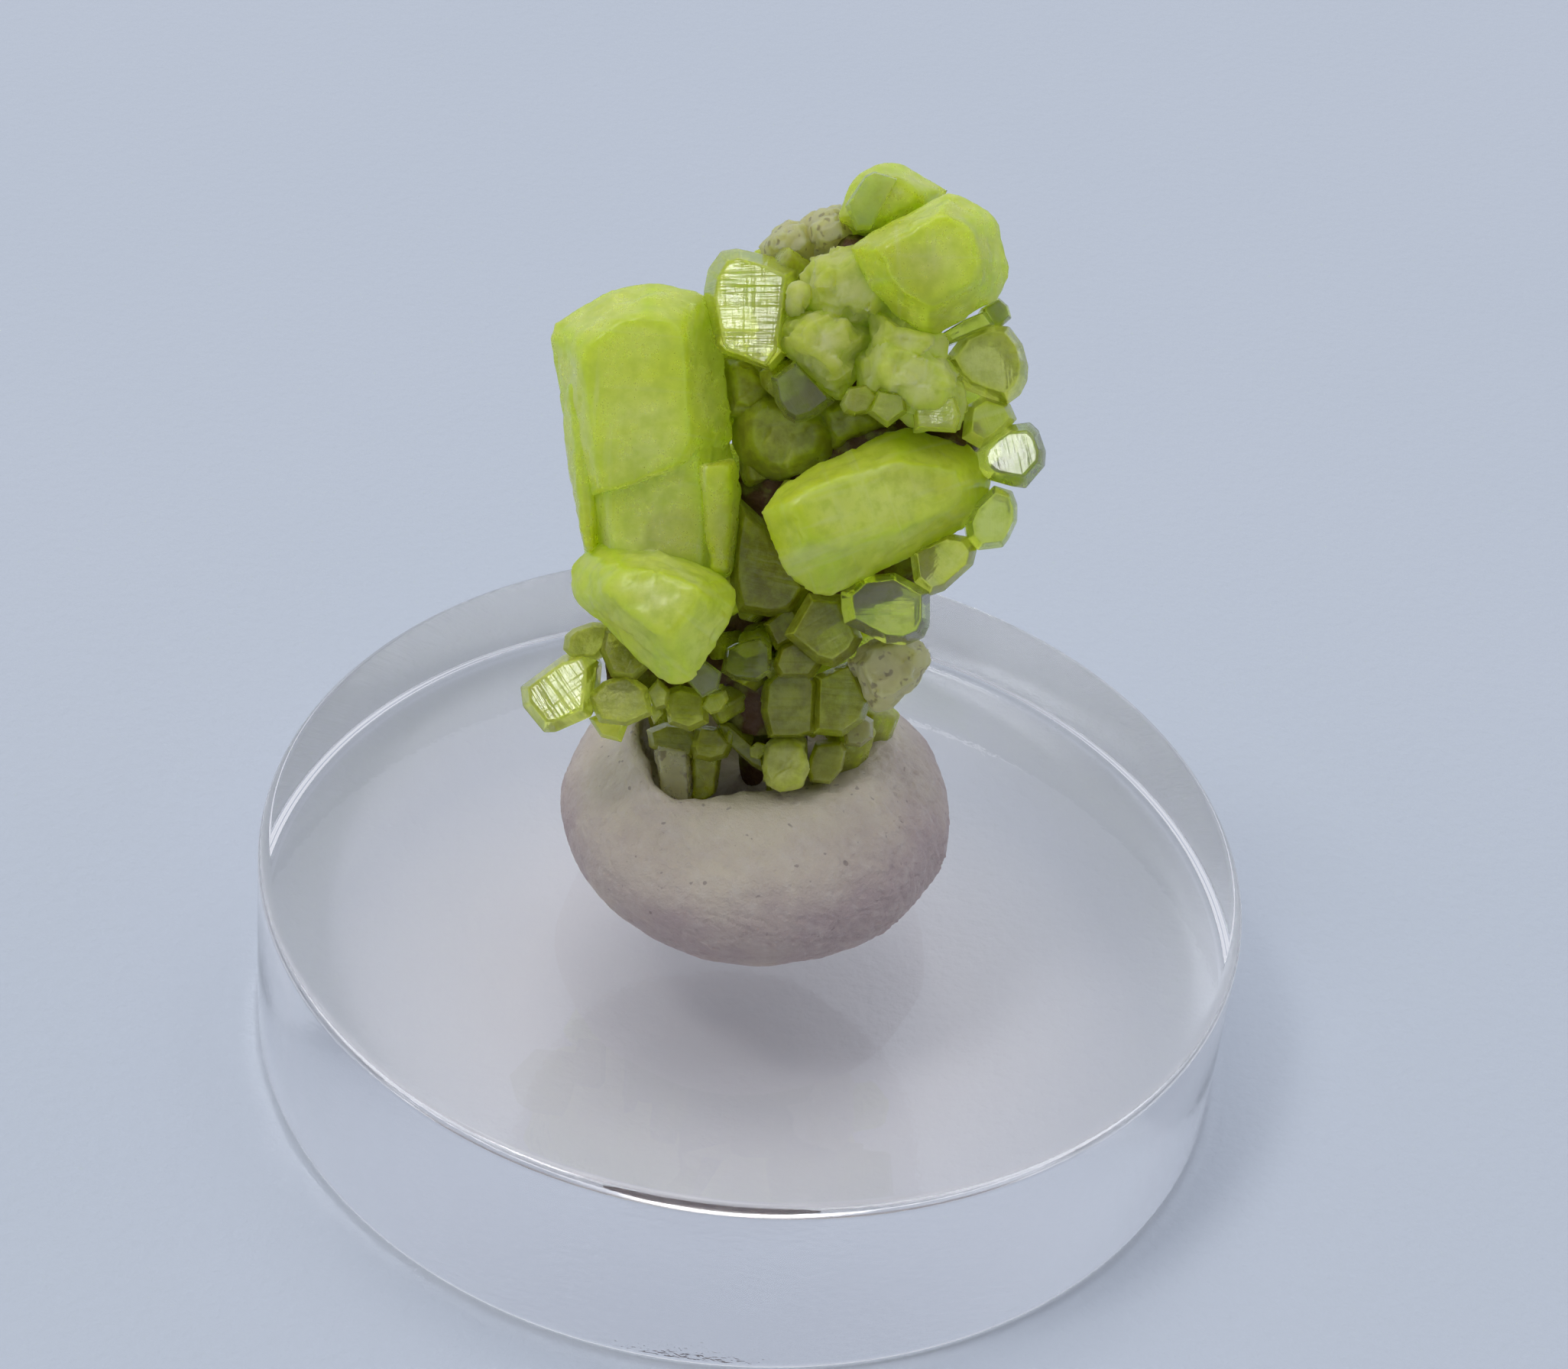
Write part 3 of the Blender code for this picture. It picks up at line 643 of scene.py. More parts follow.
# The back of the cluster, which grew in the same way
BACK = (
    Crystal("back_column", (0.9, 6.0, 2.0), (2.2, 13.2, 0.6), 3.8, 0.92, 10, ((0.55, 0.94),)),
    Crystal("back_left_prism", (-1.8, 6.8, 2.6), (-4.2, 10.4, 1.0), 3.0, 0.92, 20),
    Crystal("back_top_prism", (3.0, 13.4, 5.2), (4.3, 17.2, 3.6), 2.9, 0.92, 5),
    Crystal("back_top_left", (1.8, 13.0, 4.8), (0.2, 15.8, 3.4), 2.2, 0.92, 15),
    Crystal("back_right_prism", (3.8, 9.2, 4.2), (7.0, 11.4, 3.0), 2.6, 0.92, 12),
    Crystal("back_middle", (0.0, 5.4, 1.6), (-1.6, 8.6, -1.2), 2.9, 0.92, 25),
    Crystal("back_right_low", (2.2, 5.2, 2.4), (4.6, 7.6, 0.6), 2.5, 0.92, 8),
    Crystal("back_foot_left", (-0.8, 2.8, 1.0), (-3.0, 5.2, -0.6), 2.1, 0.92, 16),
    Crystal("back_foot", (0.6, 2.6, 0.6), (0.9, 4.6, -1.6), 2.3, 0.92, 12),
    Crystal("back_foot_right", (1.5, 2.4, 1.0), (3.4, 4.2, 0.0), 1.8, 0.92, 22),
)

# The matrix that everything grows from: a leaning stem, with a shoulder to each side. Its dark brown is also
# painted shade for the deep gaps between the crystals
STEM = (
    Crystal("stem_foot", (0.3, -1.3, -1.9), (0.2, 3.2, 1.4), 3.3, 0.85, sides=8),
    Crystal("stem_low", (0.1, 1.6, 0.9), (0.2, 8.0, 3.2), 4.3, 0.8, 10, sides=8),
    Crystal("stem_high", (0.2, 6.6, 2.8), (1.9, 13.6, 5.4), 4.6, 0.8, 5, sides=8),
    Crystal("stem_top", (1.8, 11.6, 4.8), (3.8, 15.6, 6.9), 4.4, 0.8, 15, sides=8),
    Crystal("shoulder_left", (-0.5, 3.6, 1.8), (-4.6, 3.2, 3.4), 2.2, 0.85, 10),
    Crystal("shoulder_column", (-0.4, 7.4, 3.0), (-3.2, 6.8, 4.6), 3.4, 0.8, 12),
    Crystal("shoulder_right", (1.6, 10.2, 4.4), (6.2, 9.4, 6.0), 3.4, 0.9, 8),
    Crystal("shoulder_right_low", (0.8, 5.2, 2.4), (4.6, 7.0, 5.4), 2.8, 0.9, 14),
)

# A scatter of small prisms fills the gaps on the back, in rows that climb the stem
STEM_START = (0.1, 0.3)  # the stem's middle at the foot of the face: to the right, and out of it
STEM_LEAN = 0.42  # how much it comes out of the face for each millimetre up
STEM_DRIFT = 0.19  # how much it goes to the right, above STEM_BEND
STEM_BEND = 5.0
SCATTER_SEED = 7
SCATTER_ARC = (190, 350)  # degrees round the stem, with the display side at 90
SCATTER_ROWS = 6
SCATTER_PER_ROW = 5
SCATTER_LOW = 3.4
SCATTER_STEP = 2.0
SCATTER_ROOT = 0.8
SCATTER_REACH = 3.3
SCATTER_SHIFT = 0.5  # the most that one strays up or down from its row
SCATTER_UNEVEN = (0.85, 1.15)
SCATTER_LIFT = (0.3, 0.9)
SCATTER_WIDTH = (0.9, 1.7)
SCATTER_DEPTH = (0.8, 1.0)
ANY_TURN = (0, 60)  # degrees: after 60 a six-sided prism looks the same again

# Small crystals crowd the stem between the large ones on the display side
STEM_SLIM = 0.74  # the bare stem's width under its crust of crystals, as a share of the crust's
DRUSE_SEED = 3
DRUSE_ARC = (5, 175)
DRUSE_COUNT = 40
DRUSE_HEIGHTS = (0.6, 15.0)
DRUSE_REACH = (1.4, 2.0)
DRUSE_LIFT = (-0.5, 0.7)
DRUSE_WIDTH = (0.6, 1.3)
DRUSE_DEPTH = (0.7, 1.0)

# See-through crystals
CLEAR = {
    "glass_prism",
    "glassy_sliver",
    "top_left_blade",
    "right_finger",
    "right_finger_low",
    "right_trumpet",
    "right_low_block",
    "right_square_block",
    "small_glass_tip",
    "bright_elbow",
}

# Glossy crystals that let some light through. All the others are milky
GLASSY = {
    "bright_stub",
    "stub_foot",
    "right_block",
    "right_wedge",
    "right_tooth",
    "centre_block",
    "centre_left",
    "centre_low",
    "deep_block",
    "upright_prism",
    "right_slab",
    "right_stump",
    "clear_ended_prism",
    "slanting_splint",
    "foot_knob",
    "foot_knob_left",
    "under_left_prism",
    "left_far_prism",
    "left_spotted_prism",
    "left_spike",
    "left_upper_lump",
    "left_inner_lump",
    "left_low_tip",
    "left_lowest_tip",
    "small_green_tip",
    "lower_tooth_left",
    "lower_tooth_middle",
    "lower_tooth_right",
}

# How pale a crystal is, from 0, full yellow-green, to 1, nearly white
PALENESS = {
    "left_column": 0.2,
    "left_sleeve": 0.2,
    "left_column_right_rib": 0.15,
    "left_column_left_rib": 0.05,
    "left_prism": 0.3,
    "right_prism": 0.05,
    "top_prism": 0.12,
    "top_behind": 0.4,
    "middle_mass": 0.7,
    "middle_upper": 0.65,
    "middle_right": 0.7,
    "middle_knob": 0.7,
    "middle_lower": 0.7,
    "left_far_prism": 0.7,
    "top_left_blade": 0.9,
    "glass_prism": 0.2,
    "right_square_block": 0.8,
    "right_low_block": 0.85,
    "right_trumpet": 0.85,
    "right_block": 0.7,
    "right_wedge": 0.6,
    "small_glass_tip": 0.9,
    "lower_tooth_right": 0.8,
    "bright_elbow": 0.0,
    "bright_stub": 0.2,
    "stub_foot": 0.1,
    "deep_plate": 0.1,
    "deep_plate_upper": 0.1,
    "deep_plate_right": 0.1,
    "deep_block": 0.1,
    "centre_block": 0.2,
    "centre_left": 0.1,
    "centre_low": 0.1,
    "pale_top_left": 0.95,
    "pale_top_right": 0.9,
    "speckled_block": 1.0,
    "foot_column": 0.95,
    "round_ended_prism": 0.7,
    "right_stump": 0.8,
}
PALENESS_OTHERS = (0.3, 0.65)

# How lumpy and frosted a crystal is, from 0 to 1
FROST = {
    "middle_mass": 1.0,
    "middle_upper": 1.0,
    "middle_lower": 1.0,
    "middle_right": 1.0,
    "middle_knob": 0.9,
    "deep_plate": 0.5,
    "deep_plate_upper": 0.5,
    "deep_plate_right": 0.5,
    "left_spotted_prism": 0.7,
    "left_upper_lump": 0.8,
    "left_inner_lump": 0.8,
    "round_ended_prism": 0.6,
    "speckled_block": 0.6,
    "pale_top_left": 0.7,
    "pale_top_right": 0.7,
    "right_prism": 0.25,
    "left_prism": 0.3,
    "bright_stub": 0.0,
    "stub_foot": 0.0,
    "left_far_prism": 0.0,
    "right_trumpet": 0.0,
    "glass_prism": 0.0,
    "right_square_block": 0.0,
    "bright_elbow": 0.0,
    "small_glass_tip": 0.0,
    "top_left_blade": 0.0,
}
FROST_OTHERS = 0.2

# How much brown matrix shows through a crystal, from 0 to 1, with painted shade added for the lower and
# deeper crystals
MATRIX_AND_SHADE = {
    "deep_plate": 0.6,
    "deep_plate_upper": 0.7,
    "deep_plate_right": 0.6,
    "deep_block": 0.65,
    "centre_block": 0.55,
    "centre_left": 0.75,
    "centre_low": 0.8,
    "foot_column_right": 0.75,
    "foot_knob_left": 0.6,
    "upright_prism": 0.5,
    "right_slab": 0.6,
    "right_stump": 0.5,
    "round_ended_prism": 0.5,
    "clear_ended_prism": 0.5,
    "slanting_splint": 0.5,
    "foot_column": 0.45,
    "foot_knob": 0.5,
    "under_left_prism": 0.45,
    "left_spotted_prism": 0.35,
    "left_inner_lump": 0.4,
    "left_upper_lump": 0.3,
    "right_block": 0.3,
    "speckled_block": 0.35,
    "bright_elbow": 0.2,
}
DRUSE_MATRIX_AND_SHADE = 0.7  # the same, brown matrix and painted shade, for the small crystals round the stem and its foot

# Grey-beige crystals with dark grains in them
GREY = {"pale_top_left", "pale_top_right", "speckled_block", "foot_column", "right_stump"}

# Small crystals at the cluster's foot, where it stands in the putty
FOOT = (
    Crystal("foot_right", (2.2, -0.8, -0.3), (2.9, 1.6, 1.0), 1.5, 0.9, 8),
    Crystal("foot_far_right", (2.9, -0.2, -1.2), (3.7, 2.0, -0.2), 1.4, 0.9, 20),
    Crystal("foot_right_back", (2.2, 0.6, -1.6), (3.2, 2.6, -0.8), 1.5, 0.9, 15),
    Crystal("foot_middle", (0.6, -0.9, 0.2), (0.7, 0.6, 1.2), 1.3, 0.9, 18),
    Crystal("foot_left_back", (-2.6, 0.2, -1.4), (-3.0, 2.4, -0.2), 1.5, 0.9, 12),
)


def in_scene(name, data):
    """A new object in the scene."""
    obj = bpy.data.objects.new(name, data)
    bpy.context.scene.collection.objects.link(obj)
    return obj


def rings_joined(rings, count):
    """The four-sided faces between rings of count points each."""
    faces = []
    for row in range(rings - 1):
        for i in range(count):
            j = (i + 1) % count
            a = row * count
            b = a + count
            faces.append((a + i, b + i, b + j, a + j))
    return faces


def face_matrix():
    """From the display face's frame to the world, both in millimetres."""
    stand_up = Matrix.Rotation(math.radians(90.0 - FACE_RISE), 4, "X")
    roll = Matrix.Rotation(math.radians(FACE_ROLL), 4, "Z")
    return Matrix.Translation(FACE_ORIGIN) @ stand_up @ roll


def stem_point(height):
    """The middle of the stem at a height up the display face."""
    right, out = STEM_START
    return Vector((right + STEM_DRIFT * max(0.0, height - STEM_BEND), height, out + STEM_LEAN * height))


def small_prism(name, start, out, reach, widths, depths, chance):
    """A small crystal that stands out of the stem at start."""
    foot = tuple(start + SCATTER_ROOT * out)
    tip = tuple(start + reach * out)
    width = chance.uniform(*widths)
    depth = chance.uniform(*depths)
    return Crystal(name, foot, tip, width, depth, chance.uniform(*ANY_TURN))


def scatter():
    """Small prisms that stand out of the stem's back and sides."""
    chance = random.Random(SCATTER_SEED)
    low, high = SCATTER_ARC
    made = []
    for row in range(SCATTER_ROWS):
        for place in range(SCATTER_PER_ROW):
            share = (place + 0.5 * (row % 2)) / SCATTER_PER_ROW
            round_by = math.radians(low + (high - low) * share)
            height = SCATTER_LOW + SCATTER_STEP * row + chance.uniform(-SCATTER_SHIFT, SCATTER_SHIFT)
            start = stem_point(height)
            lift = chance.uniform(*SCATTER_LIFT)
            out = Vector((math.cos(round_by), lift, math.sin(round_by))).normalized()
            reach = SCATTER_REACH * chance.uniform(*SCATTER_UNEVEN)
            name = f"scatter_{row}_{place}"
            made.append(small_prism(name, start, out, reach, SCATTER_WIDTH, SCATTER_DEPTH, chance))
    return made


def corners_of(crystal, chance):
    """The corners of a crystal's cross-section, uneven as grown ones are, about an axis along Z."""
    corners = []
    for i in range(crystal.sides):
        angle = 2 * math.pi * (i + 0.5) / crystal.sides
        across = math.sin(angle)
        out = math.cos(angle) * crystal.depth
        corner = Vector((across, out, 0.0)) * (crystal.width / 2 * chance.uniform(*CORNER_UNEVEN))
        turn = math.radians(crystal.turn + chance.uniform(-CORNER_TURN, CORNER_TURN))
        corners.append(Matrix.Rotation(turn, 3, "Z") @ corner)
    return corners


def axis_frame(crystal):
    """Turns Z into the crystal's axis and Y into the side that faces the viewer."""
    along = (Vector(crystal.tip) - Vector(crystal.foot)).normalized()
    front = Vector((0, 0, 1)) - along.z * along
    if front.length < NEARLY_END_ON:
        front = Vector((0, 1, 0)) - along.y * along
    front.normalize()
    right = front.cross(along)
    turned = Matrix((right, front, along)).transposed().to_4x4()
    return Matrix.Translation(crystal.foot) @ turned


def smooth(value):
    """0 to 1 in an easy S-curve."""
    value = min(1.0, max(0.0, value))
    return value * value * (3 - 2 * value)


class OutlinePoint(NamedTuple):
    """A point round a crystal's cross-section."""

    place: Vector
    out: Vector  # which way its side faces
    from_corner: float


def rounded_outline(corners, width, step):
    """The cross-section with an arc in each corner and points along each side."""
    cut = CORNER_ROUND * width
    count = len(corners)
    points = []
    for i, corner in enumerate(corners):
        before = (corners[i - 1] - corner).normalized()
        after = (corners[(i + 1) % count] - corner).normalized()
        start = corner + before * cut
        end = corner + after * cut
        for k in range(CORNER_STEPS + 1):
            t = k / CORNER_STEPS
            place = start * (1 - t) ** 2 + corner * 2 * t * (1 - t) + end * t * t
            out = -(before * (1 - t) + after * t).normalized()
            blend = place.normalized() * 0.5 + out * 0.5
            points.append(OutlinePoint(place, blend.normalized(), 0.0))
        following = corners[(i + 1) % count]
        run = following - corner
        side_out = Vector((run.y, -run.x, 0.0)).normalized()
        if side_out.dot(corner) < 0:
            side_out = -side_out
        last = following - after * cut
        pieces = max(2, round((last - end).length / step))
        for k in range(1, pieces):
            place = end.lerp(last, k / pieces)
            nearest = min((place - corner).length, (place - following).length)
            points.append(OutlinePoint(place, side_out, nearest - cut))
    return points


class Level(NamedTuple):
    """One ring of points round a crystal."""

    height: float
    share: float  # of the cross-section
    lift: float  # 0 where the surface faces sideways, 1 where it faces along the axis
    from_rim: float
    end: float  # 0 at the end's rim, 1 in its middle


def size_at(crystal, share_up):
    size = 1.0
    for at, share in crystal.ledges:
        if share_up >= at:
            size = share
    return size


def levels_of(crystal, length, step):
    """The rings from the foot's middle to the tip's middle."""
    rim = RIM_SHARE * crystal.width
    levels = [Level(0.0, FOOT_FLARE * k / 3, -1.0, length, 0.0) for k in (1, 2)]
    body = length - rim
    count = max(3, round(body / step))
    first_ledge = crystal.ledges[0][0] * length if crystal.ledges else body
    for k in range(count + 1):
        height = body * k / count
        size = size_at(crystal, (height + LEDGE_HEIGHT / 2) / length)
        flare = FOOT_FLARE + (1 - FOOT_FLARE) * min(1.0, height / first_ledge)
        levels.append(Level(height, size * flare, 0.0, body - height, 0.0))
    size = size_at(crystal, 1.0)
    for k in range(1, RIM_STEPS + 1):
        bend = math.pi / 2 * k / RIM_STEPS
        height = body + rim * math.sin(bend)
        share = size - END_NARROWING * (1 - math.cos(bend))
        levels.append(Level(height, share, k / RIM_STEPS * RIM_LIFT, 0.0, 0.0))
    end_share = size - END_NARROWING
    for k in range(1, END_RINGS):
        inward = k / END_RINGS
        dome = END_DOME * crystal.width * (1 - (1 - inward) ** 2)
        from_rim = inward * end_share * crystal.width / 2
        levels.append(Level(length + dome, end_share * (1 - inward), 1.0, from_rim, inward))
    return levels


def saw(value, steep=0.85):
    """A step that climbs slowly and drops fast, from -0.5 to 0.5."""
    part = value - math.floor(value)
    return (part / steep if part < steep else (1 - part) / (1 - steep)) - 0.5


def relief(place, level, around, crystal, seed):
    """How far the grown surface stands out of its flat side, in millimetres."""
    size = min(1.0, crystal.width / 3.0)
    broad = noise.noise(place * (1.4 / crystal.width) + seed)
    lumps = noise.noise(place * 1.3 + seed) + 0.5 * noise.noise(place * 3.1 + seed)
    smooth_lumps, frost_lumps = SMALL_LUMPS
    stands = SMALL_SWELL * crystal.width * broad + (smooth_lumps + frost_lumps * FROST_OTHERS) * size * lumps
    if level.lift < 1.0:
        plates = level.height / (0.32 * crystal.width) + 1.1 * noise.noise(place * 0.45 - seed)
        streaks = noise.noise(Vector((around * 2.6, level.height * 0.1, 0.0)) + seed)
        stands += (SMALL_PLATE * saw(plates) + SMALL_PLATE * streaks) * size * (1 - level.lift)
    else:
        terraces = 2.6 * level.end + 1.2 * noise.noise(place * 0.5 - seed)
        stands += SMALL_PLATE * saw(terraces, 0.7) * size
    return stands


def crystal_object(crystal, place):
    """One closed crystal with rounded edges and a grown surface. Its corners carry what the finish needs."""
    chance = random.Random(crystal.name)
    corners = corners_of(crystal, chance)
    slope = Vector((chance.uniform(-END_SLOPE, END_SLOPE), chance.uniform(-END_SLOPE, END_SLOPE), 0.0))
    seed = Vector([chance.uniform(-50, 50) for _ in range(3)])
    pale = chance.uniform(*PALENESS_OTHERS)
    # brown matrix showing through, with painted shade, for the small crystals low by the stem
    olive = DRUSE_MATRIX_AND_SHADE if crystal.name.startswith(("druse", "foot_")) else 0.0
    low, high = POINT_STEP_RANGE
    step = min(high, max(low, POINT_STEP * crystal.width))
    length = (Vector(crystal.tip) - Vector(crystal.foot)).length
    ring = rounded_outline(corners, crystal.width, step)
    levels = levels_of(crystal, length, step)
    frame_in = place @ axis_frame(crystal)
    verts = []
    grown = []
    turned = []
    for level in levels:
        lean = slope * smooth((level.height / length - END_SLOPE_START) / END_SLOPE_RUN)
        around = 0.0
        before = ring[-1].place
        for point in ring:
            around += (point.place - before).length
            before = point.place
            flat = point.place * level.share
            at = Vector((flat.x, flat.y, level.height + flat.dot(lean)))
            way = (point.out * (1 - abs(level.lift)) + Vector((0, 0, level.lift))).normalized()
            if level.lift >= 0:
                at += way * relief(at, level, around, crystal, seed)
            verts.append(frame_in @ at * MM)
            # painted glow: a stronger colour near the corners and the end's rim, for the light gathered at
            # the edges
            corner = math.exp(-max(0.0, point.from_corner) * level.share / EDGE_GLOW) * (1 - level.end)
            rim = math.exp(-level.from_rim / RIM_GLOW)
            grown.append((max(corner, rim), level.end, 0.0))
            turned.append((at.x, at.y, seed.x) if level.lift == 1.0 else (around, level.height, seed.x))
    last = levels[-1]
    verts.append(frame_in @ Vector((0, 0, 0)) * MM)
    verts.append(frame_in @ Vector((0, 0, last.height + 0.1 * END_DOME * crystal.width)) * MM)
    grown += [(0.0, 0.0, 0.0), (0.0, 1.0, 0.0)]
    turned += [(0.0, 0.0, seed.x), (0.0, 0.0, seed.x)]
    count = len(ring)
    faces = rings_joined(len(levels), count)
    foot = len(verts) - 2
    tip = len(verts) - 1
    top = (len(levels) - 1) * count
    for i in range(count):
        j = (i + 1) % count
        faces.append((foot, i, j))
        faces.append((tip, top + j, top + i))
    mesh = bpy.data.meshes.new(crystal.name)
    mesh.from_pydata(verts, [], faces)
    made_of = [(pale, FROST_OTHERS, olive)] * len(verts)
    corners_hold(mesh, grown=grown, made_of=made_of, turned=turned)
    return in_scene(crystal.name, mesh)


def corners_hold(mesh, **layers):
    """Gives each face corner its point's three values of every layer."""
    for name, values in layers.items():
        layer = mesh.attributes.new(name, "FLOAT_VECTOR", "CORNER")
        spread = []
        for loop in mesh.loops:
            spread.extend(values[loop.vertex_index])
        layer.data.foreach_set("vector", spread)


def hull_of(item, lean):
    """The crystal's flat-sided body, in millimetres on the display face."""
    middle = Vector([sum(values) / len(item.outline) for values in zip(*item.outline)])
    bm = bmesh.new()
    for x, y, rise, across, up in ((0.0, 0.0, 0.0, 1.0, 1.0), item.front, item.root):
        for corner in item.outline:
            at = Vector((x + (corner[0] - x) * across, y + (corner[1] - y) * up))
            climb = lean.dot(at - middle)
            bm.verts.new((at.x, at.y, item.level + rise + climb))
    hull = bmesh.ops.convex_hull(bm, input=bm.verts)
    unused = hull["geom_interior"] + hull["geom_unused"]
    spare = {geom for geom in unused if isinstance(geom, bmesh.types.BMVert)}
    bmesh.ops.delete(bm, geom=list(spare), context="VERTS")
    flat = math.radians(FLAT_ENOUGH)
    bmesh.ops.dissolve_limit(bm, angle_limit=flat, verts=bm.verts, edges=bm.edges)
    bmesh.ops.recalc_face_normals(bm, faces=bm.faces)
    return bm


def edge_finder(bm):
    """Looks up how far a point is from the nearest edge."""
    points = []
    for edge in bm.edges:
        if edge.calc_face_angle(0.0) > math.radians(EDGE_NEEDS):
            start, end = (vert.co.copy() for vert in edge.verts)
            pieces = max(1, round(edge.calc_length() / EDGE_STEP))
            points += [start.lerp(end, k / pieces) for k in range(pieces + 1)]
    finder = kdtree.KDTree(len(points))
    for k, point in enumerate(points):
        finder.insert(point, k)
    finder.balance()
    return finder


def waxy(bm, step, softness):
    """The body with an even skin of points and softened edges."""
    mesh = bpy.data.meshes.new("body")
    bm.to_mesh(mesh)
    body = in_scene("body", mesh)
    skin = body.modifiers.new("skin", "REMESH")
    skin.mode = "VOXEL"
    skin.voxel_size = step
    depsgraph = bpy.context.evaluated_depsgraph_get()
    bm.clear()
    bm.from_mesh(body.evaluated_get(depsgraph).to_mesh())
    bpy.data.objects.remove(body)
    for _ in range(softness):
        bmesh.ops.smooth_vert(
            bm, verts=bm.verts, factor=0.5, use_axis_x=True, use_axis_y=True, use_axis_z=True
        )


def cut_edges(bm, width):
    """Narrow rounded edges, and rings inside each side that keep it flat."""
    sharp = [edge for edge in bm.edges if edge.calc_face_angle(0.0) > math.radians(EDGE_NEEDS)]
    bmesh.ops.bevel(bm, geom=sharp, offset=width, segments=2, profile=0.5, affect="EDGES", clamp_overlap=True)
    for thickness in INSETS:
        wide = [face for face in bm.faces if face.calc_area() / face.calc_perimeter() > 2 * thickness]
        bmesh.ops.inset_individual(bm, faces=wide, thickness=thickness, use_even_offset=True)
    bmesh.ops.triangulate(bm, faces=[face for face in bm.faces if len(face.verts) > 4])


def facet_relief(at, size, frost, grain, seed):
    """How far a milky crystal's surface stands out, in millimetres."""
    along = at.x * grain.x + at.y * grain.y
    broad = MILKY_SWELL * min(1.0, size / 4) * noise.noise(at * 0.5 + seed)
    lumps = noise.noise(at * 1.5 + seed) + 0.5 * noise.noise(at * 3.3 + seed)
    plates = saw(along / 1.3 + 1.2 * noise.noise(at * 0.4 - seed))
    across = at.x * grain.y - at.y * grain.x
    plates += 0.6 * noise.noise(Vector((across * 2.4, along * 0.15, at.z * 0.3)) + seed)
    pits = max(0.0, noise.noise(at * 2.2 - seed) - 0.25)
    cell = noise.voronoi(at / CRUST_CELL + seed)[1][0]
    slope = noise.cell_vector(cell * 9.7) - Vector((0.5, 0.5, 0.5))
    crust = slope.dot(at / CRUST_CELL + seed - cell) * CRUST_SLOPE * frost * CRUST_CELL
    smooth_lumps, frost_lumps = MILKY_LUMPS
    skin = (smooth_lumps + frost_lumps * frost) * lumps
    return broad + skin + MILKY_PLATE * (1 - frost) * plates + crust - PIT_DEPTH * frost * pits


def facets_object(item, place):
    """One closed crystal from its outline. Its corners carry what the finish needs."""
    chance = random.Random(item.name)
    seed = Vector([chance.uniform(-50, 50) for _ in range(3)])
    grain = Vector(item.grain).normalized()
    xs, ys = zip(*item.outline)
    size = max(max(xs) - min(xs), max(ys) - min(ys))
    frost = FROST.get(item.name, FROST_OTHERS)
    # brown matrix showing through, with painted shade for the lower and deeper crystals
    olive = MATRIX_AND_SHADE.get(item.name, 0.0)
    pale = PALENESS.get(item.name, chance.uniform(*PALENESS_OTHERS) * (1 - olive))
    grey = 1.0 if item.name in GREY else 0.0
    lean = Vector(item.tilt or (chance.uniform(-LEAN, LEAN), chance.uniform(-LEAN, LEAN)))
    bm = hull_of(item, lean)
    finder = edge_finder(bm)
    if item.name in CLEAR or item.name in GLASSY:
        cut_edges(bm, min(CUT_RANGE[1], max(CUT_RANGE[0], CUT_SHARE * size)))
    else:
        low, high = SKIN_STEP_RANGE
        waxy(bm, min(high, max(low, SKIN_STEP * size)), SOFTNESS)
        bm.normal_update()
        for vert in bm.verts:
            vert.co += vert.normal * facet_relief(vert.co, size, frost, grain, seed)
    # painted glow: a stronger colour near the edges, for the light gathered there
    glow = EDGE_GLOW * min(1.0, size / 3)
    front = Vector(item.front[:2])
    reach = END_REACH * size * max(item.front[3:])
    grown = []
    turned = []
    for vert in bm.verts:
        distance = finder.find(vert.co)[2]
        centre = max(0.0, 1 - (vert.co.xy - front).length / reach) if vert.co.z > item.level else 0.0
        grown.append((math.exp(-distance / glow), centre * (1 - olive), grey))
        along = vert.co.xy.dot(grain)
        across = vert.co.x * grain.y - vert.co.y * grain.x
        turned.append((across, along, seed.x))
    bm.transform(Matrix.Scale(MM, 4) @ place)
    mesh = bpy.data.meshes.new(item.name)
    bm.to_mesh(mesh)
    bm.free()
    made_of = [(pale, frost, olive)] * len(grown)
    corners_hold(mesh, grown=grown, made_of=made_of, turned=turned)
    return in_scene(item.name, mesh)


def druse():
    """Small crystals that crowd the stem between the large ones on the display side."""
    chance = random.Random(DRUSE_SEED)
    low, high = DRUSE_ARC
    made = []
    for k in range(DRUSE_COUNT):
        round_by = math.radians(chance.uniform(low, high))
        height = chance.uniform(*DRUSE_HEIGHTS)
        out = Vector((math.cos(round_by), chance.uniform(*DRUSE_LIFT), math.sin(round_by))).normalized()
        start = stem_point(height)
        reach = chance.uniform(*DRUSE_REACH)
        made.append(small_prism(f"druse_{k}", start, out, reach, DRUSE_WIDTH, DRUSE_DEPTH, chance))
    return made


def united(first, second):
    """The union of two closed objects, in place of both."""
    modifier = first.modifiers.new("union", "BOOLEAN")
    modifier.operation = "UNION"
    modifier.solver = "MANIFOLD"
    modifier.object = second
    depsgraph = bpy.context.evaluated_depsgraph_get()
    mesh = bpy.data.meshes.new_from_object(first.evaluated_get(depsgraph))
    first.modifiers.clear()
    first.data = mesh
    bpy.data.objects.remove(second)
    return first


def grown_together(name, crystals, finish):
    """All the crystals in one closed mesh with nothing inside it."""
    place = face_matrix()
    objects = [
        facets_object(crystal, place) if isinstance(crystal, Facets) else crystal_object(crystal, place)
        for crystal in crystals
    ]
    while len(objects) > 1:
        pairs = zip(objects[::2], objects[1::2])
        left_over = objects[len(objects) // 2 * 2 :]
        objects = [united(first, second) for first, second in pairs] + left_over
    grown = objects[0]
    grown.name = name
    grown.data.name = name
    grown.data.shade_smooth()
    grown.data.set_sharp_from_angle(angle=math.radians(SHARP.get(name, SHARP_OTHERS)))
    grown.data.materials.clear()
    grown.data.materials.append(finish)
    return grown


